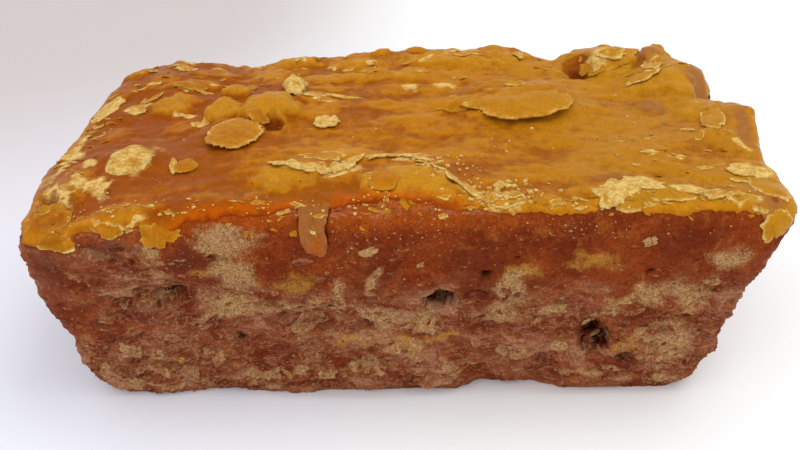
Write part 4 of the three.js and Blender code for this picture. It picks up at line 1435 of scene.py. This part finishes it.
# %% Crusts of the front rim, and lips over it
FRONT_CRUSTS = [
    ((47.5, -34.2), (9.5, 7.5), dict(lift=(0.3, 1.3), thick=0.8, ragged=0.24, teeth=0.2, cells=18,
                                     tint=0.85)),
    ((54.5, -30.8), (8.5, 8), dict(lift=(0.4, 1.1), thick=0.8, ragged=0.24, teeth=0.15, cells=18,
                                   tint=0.92, turn=20)),
    ((59.5, -35.5), (13, 6), dict(lift=(0.1, 1.0), ragged=0.22, cells=18, tint=0.55, turn=-5)),
    ((64.5, -34), (9.5, 3.6), dict(lift=(0.2, 1.0), ragged=0.24, teeth=0.15, cells=14, tint=0.85, turn=-8)),
    ((69.8, -35.4), (7, 4), dict(lift=(0.1, 0.9), ragged=0.24, teeth=0.15, cells=12, tint=0.78, turn=-12)),
    ((75.5, -38.6), (8, 3.6), dict(lift=(0.1, 0.8), ragged=0.24, cells=12, tint=0.72, turn=-16)),
    ((52, -37.4), (12, 4.4), dict(lift=(0.1, 0.8), ragged=0.2, cells=14, tint=0.5)),
    ((81, -25), (10.5, 7.5), dict(lift=(0.2, 1.2), thick=0.9, ragged=0.2, teeth=0.12, cells=18, tint=0.88,
                                  turn=20)),
    ((81.5, -33.5), (8, 11), dict(lift=(0.1, 0.9), thick=1.0, ragged=0.16, cells=16, tint=0.5, turn=10)),
    ((23, -30.3), (3, 2.6), dict(lift=(0.8, 1.3), thick=1.3, ragged=0.15, cells=8, tint=0.9)),
    ((20.5, -36), (4, 3), dict(lift=(0.3, 0.9), ragged=0.3, cells=9, tint=0.7)),
    ((26, -34.5), (4.5, 3), dict(lift=(0.3, 1.0), ragged=0.3, teeth=0.2, cells=9, tint=0.72)),
    ((23.5, -38), (7, 3), dict(lift=(0.2, 0.8), ragged=0.3, teeth=0.2, cells=12, tint=0.6)),
    ((35, -37.6), (3.6, 2.4), dict(lift=(0.2, 0.8), ragged=0.3, teeth=0.3, cells=9, tint=0.75)),
]
LIPS = [
    # on the front, over its upper edge
    ((-77.5, 51.0), (12.5, 4.4), dict(lift=(0.2, 1.3), thick=0.9, drape=0.8, ragged=0.25, teeth=0.2,
                                      cells=24, tint=0.34)),
    ((-76.5, 48.2), (11, 3.4), dict(lift=(0.2, 0.7), thick=0.8, drape=0.8, ragged=0.25, teeth=0.2,
                                    cells=22, tint=0.6, turn=4)),
    ((-64.5, 51.6), (8, 2.6), dict(lift=(0.2, 0.9), drape=0.8, ragged=0.25, teeth=0.2, cells=18, tint=0.5,
                                   turn=-6)),
    ((-53, 49.6), (8.2, 4.4), dict(lift=(0.3, 1.3), thick=0.8, drape=0.8, ragged=0.3, teeth=0.25, cells=26,
                                   tint=0.38, turn=8)),
    ((82.0, 49.6), (6.5, 7.5), dict(lift=(0.1, 0.6), thick=0.8, drape=0.9, ragged=0.25, teeth=0.1,
                                    cells=18, tint=0.58)),
]
for count, (at, size, ways) in enumerate(FRONT_CRUSTS, start=len(TOP_FLAKES)):
    add_flake(flakes, "top", on_top(*at), size, seed=1.7 * count + 0.4, **ways)
for count, (at, size, ways) in enumerate(LIPS):
    add_flake(flakes, "front", on_front(*at), size, seed=3.1 * count + 0.2, **ways)
print(len(FRONT_CRUSTS), "crusts and", len(LIPS), "lips")

# %% Curled ridges
RIDGES = [
    # a curled lip of crust: points of its path, width, tint
    ([(-30, -17.8), (-26, -19.4), (-21.5, -21.6), (-17, -22.0), (-13, -19.6), (-10.2, -16.4)], 3.6, 0.84),
    ([(-7, -16.6), (-3, -15.2), (1.5, -15.0), (5.5, -17.0)], 3.0, 0.80),
    ([(5, -18), (8.5, -21.5), (11.5, -25.5), (14.5, -30), (18, -34.5)], 2.6, 0.78),
]
OVERLAP = 1.5  # each flake of a ridge is this much longer than its stretch

for path, width, tint in RIDGES:
    path = [on_top(*point) for point in path]
    for count, ((x0, y0), (x1, y1)) in enumerate(zip(path, path[1:])):
        long = math.hypot(x1 - x0, y1 - y0) * OVERLAP
        lean = math.degrees(math.atan2(y1 - y0, x1 - x0))
        halfway = ((x0 + x1) / 2, (y0 + y1) / 2)
        add_flake(flakes, "top", halfway, (long, width), turn=lean, lift=(0.1, 1.3), thick=0.7, ragged=0.3,
                  teeth=0.2, cells=12, seed=count + 10 * tint, tint=tint)
print(len(RIDGES), "ridges")

# %% [markdown]
# ## Small crusts along the rims
# Between the large crusts lie many small ones, too many to place one by one. A seeded draw strews
# them, so that they lie in the same places every time. Where the ground is as steep as a corner
# a crust would stand out from it, so those places are passed over.

# %% Small crusts along the rims
RIM_CRUSTS = [
    # side, how many, across, up, longest in mm
    ("top", 90, (-82, 82), (-40.5, -35.5), 3.4),
    ("front", 18, (-82, 82), (49.5, 53.5), 1.6),
    ("top", 60, (-86, -76), (-34, 38), 4.0),
    ("top", 70, (-80, 80), (28, 50), 4.5),
    ("top", 30, (48, 80), (-32, -2), 2.6),
]
RIM_CRUST_SEED = 8
TOO_STEEP = 0.8

draw = random.Random(RIM_CRUST_SEED)
for side, many, across_reach, up_reach, longest in RIM_CRUSTS:
    for _ in range(many):
        at = (draw.uniform(*across_reach), draw.uniform(*up_reach))
        long = longest * draw.uniform(0.3, 1.0) ** 1.5
        size = (long, long * draw.uniform(0.35, 0.7))
        if height_on(side, *at) is None or max(map(abs, bed_under(side, at, size)[1])) > TOO_STEEP:
            continue
        add_flake(flakes, side, at, size, turn=draw.gauss(0, 20), lift=(0.0, draw.uniform(0.5, 1.2)),
                  thick=0.5, ragged=0.35, teeth=0.3, cells=4, seed=draw.uniform(0, 90),
                  tint=draw.uniform(0.15, 0.78))
print("small crusts laid")

# %% [markdown]
# ## Finish of the flakes
# The flakes go from clear amber to dry pale crust. They could have a finish for each kind, but
# one finish that reads each flake's tint gives every shade between too. A thin edge is paler,
# because less sugar lies behind it.

# %% Flake finish
FLAKE_GLOW_DEPTH = 1.4  # mm
NO_EDGE = 20.0  # as far inside the skin's edge as this, its rim colours don't show
NO_SPOT = -1.0

crust = Finish("flake_sugar")
tint = crust.mask("tint")
rim = crust.band(crust.mask("rim"), 0.72, 1.0)
pale = crust.sum(crust.times(tint, 1.7), crust.times(rim, 0.55), -1.05)
# Painted light: the amber colour reads this as height, so paler flakes and their rims are painted lighter.
raised = crust.sum(crust.times(tint, 1.2), crust.times(rim, 0.5), 0.3)
colour, crusted = amber_colour(crust, NO_EDGE, pale, NO_SPOT, NO_SPOT, raised)
set_amber(crust, colour, crusted, FLAKE_GLOW_DEPTH)
finished("top_flakes", flakes, crust.material)

# %% [markdown]
# ## Shards of the front
# Low down the front is torn into small shards, and a few pale chips stick higher up. The ones
# that can be told apart are placed one by one, and the rest are strewn by a seeded draw, thicker
# low down and at the left. Relief alone can't make them, because their edges stand off the surface.

# %% Shards that can be told apart
FRONT_FLAKES = [
    ((-6.8, 44.2), (4.4, 1.8), dict(lift=(0.5, 1.2), thick=0.5, ragged=0.25, teeth=0.2, cells=9, tint=0.95,
                                    turn=10)),
    ((55.5, 45.7), (3.2, 2.2), dict(lift=(0.5, 1.1), thick=0.5, ragged=0.3, teeth=0.3, cells=9, tint=0.95,
                                    turn=15)),
    ((-22, 24), (8.6, 3.6), dict(lift=(0.3, 1.0), ragged=0.2, cells=12, tint=0.55, turn=14)),
    ((-59, 31.2), (6, 2.6), dict(lift=(0.4, 1.2), ragged=0.25, teeth=0.2, cells=12, tint=0.55, turn=-20)),
    ((52.5, 16.2), (10.5, 3.2), dict(lift=(0.3, 1.1), ragged=0.25, teeth=0.15, cells=14, tint=0.55, turn=38)),
    ((43.4, 23.6), (3.2, 4.6), dict(lift=(0.6, 1.5), thick=1.1, ragged=0.25, cells=10, tint=0.75)),
    ((57.2, 14), (3.4, 6), dict(lift=(0.2, 1.0), ragged=0.25, teeth=0.15, cells=10, tint=0.55, turn=-15)),
    ((37, 16.3), (4, 2.6), dict(lift=(0.5, 1.2), thick=1.1, ragged=0.2, cells=9, tint=0.72, turn=-10)),
    ((62.5, 5.2), (4.8, 2.8), dict(lift=(0.5, 1.2), thick=1.0, ragged=0.15, cells=9, tint=0.8, turn=-22)),
    ((-53.3, 9.2), (2.8, 8.2), dict(lift=(0.3, 1.2), thick=0.7, ragged=0.2, cells=10, tint=0.62, turn=24)),
    ((-50.5, 5.6), (6, 2), dict(lift=(0.3, 1.0), thick=0.7, ragged=0.25, cells=9, tint=0.7, turn=-35)),
    ((-67, 15.6), (6.6, 2.4), dict(lift=(0.4, 1.4), thick=0.8, ragged=0.2, cells=9, tint=0.7, turn=-30)),
    ((-61.5, 9.5), (9, 2.4), dict(lift=(0.4, 1.3), thick=0.8, ragged=0.2, cells=10, tint=0.66, turn=-44)),
    ((-60.4, 14.8), (3.2, 2.6), dict(lift=(0.5, 1.3), thick=1.0, ragged=0.12, cells=8, tint=0.8)),
    ((-56, 19.6), (4.2, 3.0), dict(lift=(0.2, 0.8), ragged=0.15, cells=9, tint=0.55, dimple=0.3)),
    ((-36, 8.2), (7, 4.6), dict(lift=(0.3, 1.2), ragged=0.3, teeth=0.25, cells=12, tint=0.75, turn=-8)),
    ((-32.4, 8.8), (3.4, 4), dict(lift=(0.3, 1.2), ragged=0.3, teeth=0.2, cells=9, tint=0.7)),
    ((-19.5, 7.4), (5, 3.2), dict(lift=(0.3, 1.1), ragged=0.3, teeth=0.2, cells=10, tint=0.7)),
    ((-9, 12), (3.6, 2.2), dict(lift=(0.2, 0.8), ragged=0.3, cells=8, tint=0.6)),
    ((24, 15.2), (4, 3), dict(lift=(0.2, 1.0), ragged=0.3, teeth=0.3, cells=10, tint=0.7, turn=30)),
    ((-45.5, 13.5), (4, 2.0), dict(lift=(0.2, 1.0), ragged=0.3, teeth=0.2, cells=8, tint=0.65, turn=30)),
    ((-22.5, 27.4), (15, 1.8), dict(lift=(0.2, 0.7), thick=0.6, ragged=0.3, cells=14, tint=0.5, turn=4)),
    ((-66, 34.6), (9, 1.6), dict(lift=(0.2, 0.9), thick=0.6, ragged=0.3, cells=12, tint=0.5, turn=4)),
    ((-56, 34.4), (9, 1.6), dict(lift=(0.2, 1.0), thick=0.6, ragged=0.3, cells=12, tint=0.4, turn=-4)),
]
shards = new_pile()
for count, (at, size, ways) in enumerate(FRONT_FLAKES):
    add_flake(shards, "front", on_front(*at), size, seed=2.3 * count + 0.9, **ways)
print(len(FRONT_FLAKES), "named shards")

# %% Strewn shards
STREWN = [
    # side, how many, reach across, heights
    ("front", 420, (-78, 74), (3, 34)),
    ("front", 120, (-80, -40), (5, 45)),
    ("front", 50, (-80, 78), (34, 50)),
    ("left", 120, (-46, 38), (3, 48)),
    ("right", 120, (-38, 46), (3, 46)),
    ("back", 230, (-80, 80), (3, 48)),
]
SHARD_SEED = 21
ROOM_ABOVE = 2  # a shard needs some surface above it too, in mm

draw = random.Random(SHARD_SEED)
strewn = 0
for side, many, reach, heights in STREWN:
    for _ in range(many):
        at = (draw.uniform(*reach), heights[0] + (heights[1] - heights[0]) * draw.random() ** 1.3)
        long = 1.0 + 3.4 * draw.random() ** 2.4
        size = (long, long * draw.uniform(0.3, 0.7))
        if height_on(side, *at) is None or height_on(side, at[0], at[1] + ROOM_ABOVE) is None:
            continue
        add_flake(shards, side, at, size, turn=draw.gauss(0, 26), lift=(0.0, draw.uniform(0.4, 1.3)),
                  thick=0.55, ragged=0.35, teeth=0.3, cells=4, seed=draw.uniform(0, 90),
                  tint=draw.uniform(0.0, 0.7))
        strewn += 1
print(strewn, "strewn shards")

# %% [markdown]
# ## Finish of the shards
# The shards are the same sugar as the sides, so they take the same colours. Their tint and rim
# stand in for the painted patches, so the palest shards look dusty.

# %% Shard finish
SHARD_ROUGH = 0.7
# Painted light: the sugar colour reads this as height and paints the shards lighter for it.
SHARD_RAISED = 0.6

flaky = Finish("shard_sugar")
tint = flaky.mask("tint")
rim = flaky.band(flaky.mask("rim"), 0.2, 1.0)
powder = flaky.sum(flaky.times(tint, 1.8), flaky.times(rim, 0.40), -1.30)
gold = flaky.sum(flaky.times(tint, 0.6), -0.6)
colour, dusty = sugar_colour(flaky, powder, gold, NO_SPOT, SHARD_ROUGH, SHARD_RAISED)
set_sugar(flaky, colour, dusty, 0.4)
finished("side_shards", shards, flaky.material)

# %% [markdown]
# ## Crumbs and grains
# Loose crumbs stick on the top and along its front rim, and finer grains on the sides. Each could
# be a dot in the finish, but real ones catch the light and cast shadows. Each is a ball of a few
# faces, pushed out of round and half sunk in the surface, and shaded flat, so that it looks like
# a broken crystal.

# %% Crumbs
CRUMBS = [
    # side, how many, across, up, smallest and largest half-size in mm
    ("top", 150, (-78, 80), (-39.5, -33), (0.18, 0.5)),
    ("top", 60, (3, 20), (-30, -14), (0.2, 0.6)),
    ("top", 40, (16, 30), (-39, -28), (0.3, 0.8)),
    ("top", 110, (-80, 80), (-33, 46), (0.14, 0.36)),
    ("top", 26, (-10, -2), (-36, -22), (0.2, 0.5)),
    ("front", 420, (-80, 78), (4, 50), (0.10, 0.32)),
    ("front", 150, (-20, 50), (47, 53), (0.10, 0.30)),
    ("left", 90, (-46, 38), (4, 48), (0.2, 0.5)),
    ("right", 90, (-38, 46), (4, 46), (0.2, 0.5)),
    ("back", 160, (-80, 80), (4, 48), (0.2, 0.5)),
]
CRUMB_SEED = 5
STANDS_OUT = 0.3  # how far a crumb's middle is above the surface, in shares of its size
MID_RIM = 0.5

crumbs, grains = new_pile(), new_pile()
draw = random.Random(CRUMB_SEED)
for side, many, across_reach, up_reach, half in CRUMBS:
    across_way, up_way, out = SIDES[side]
    for _ in range(many):
        at = (draw.uniform(*across_reach), draw.uniform(*up_reach))
        height = height_on(side, *at)
        if height is None:
            continue
        radius = half[0] + (half[1] - half[0]) * draw.random() ** 2
        centre = across_way * at[0] + up_way * at[1] + out * (height + STANDS_OUT * radius)
        shape = Vector((draw.uniform(0.7, 1.5), draw.uniform(0.7, 1.3), draw.uniform(0.6, 1.0)))
        tint = draw.uniform(0.8, 1.4)
        crumb = new_pile()
        tints, rims = flake_layers(crumb)
        bmesh.ops.create_icosphere(crumb, subdivisions=1, radius=radius * MM)
        for vert in crumb.verts:
            push = 1 + 0.6 * noise.noise(vert.co / (radius * MM) * 1.9 + centre)
            vert.co = Vector(a * b for a, b in zip(vert.co, shape)) * push + centre * MM
            vert[tints] = tint
            vert[rims] = MID_RIM
        move_into(crumbs if side == "top" else grains, crumb)
bpy.data.meshes.remove(carrier)
finished("crumbs", crumbs, crust.material, smooth=False)
finished("grains", grains, flaky.material, smooth=False)
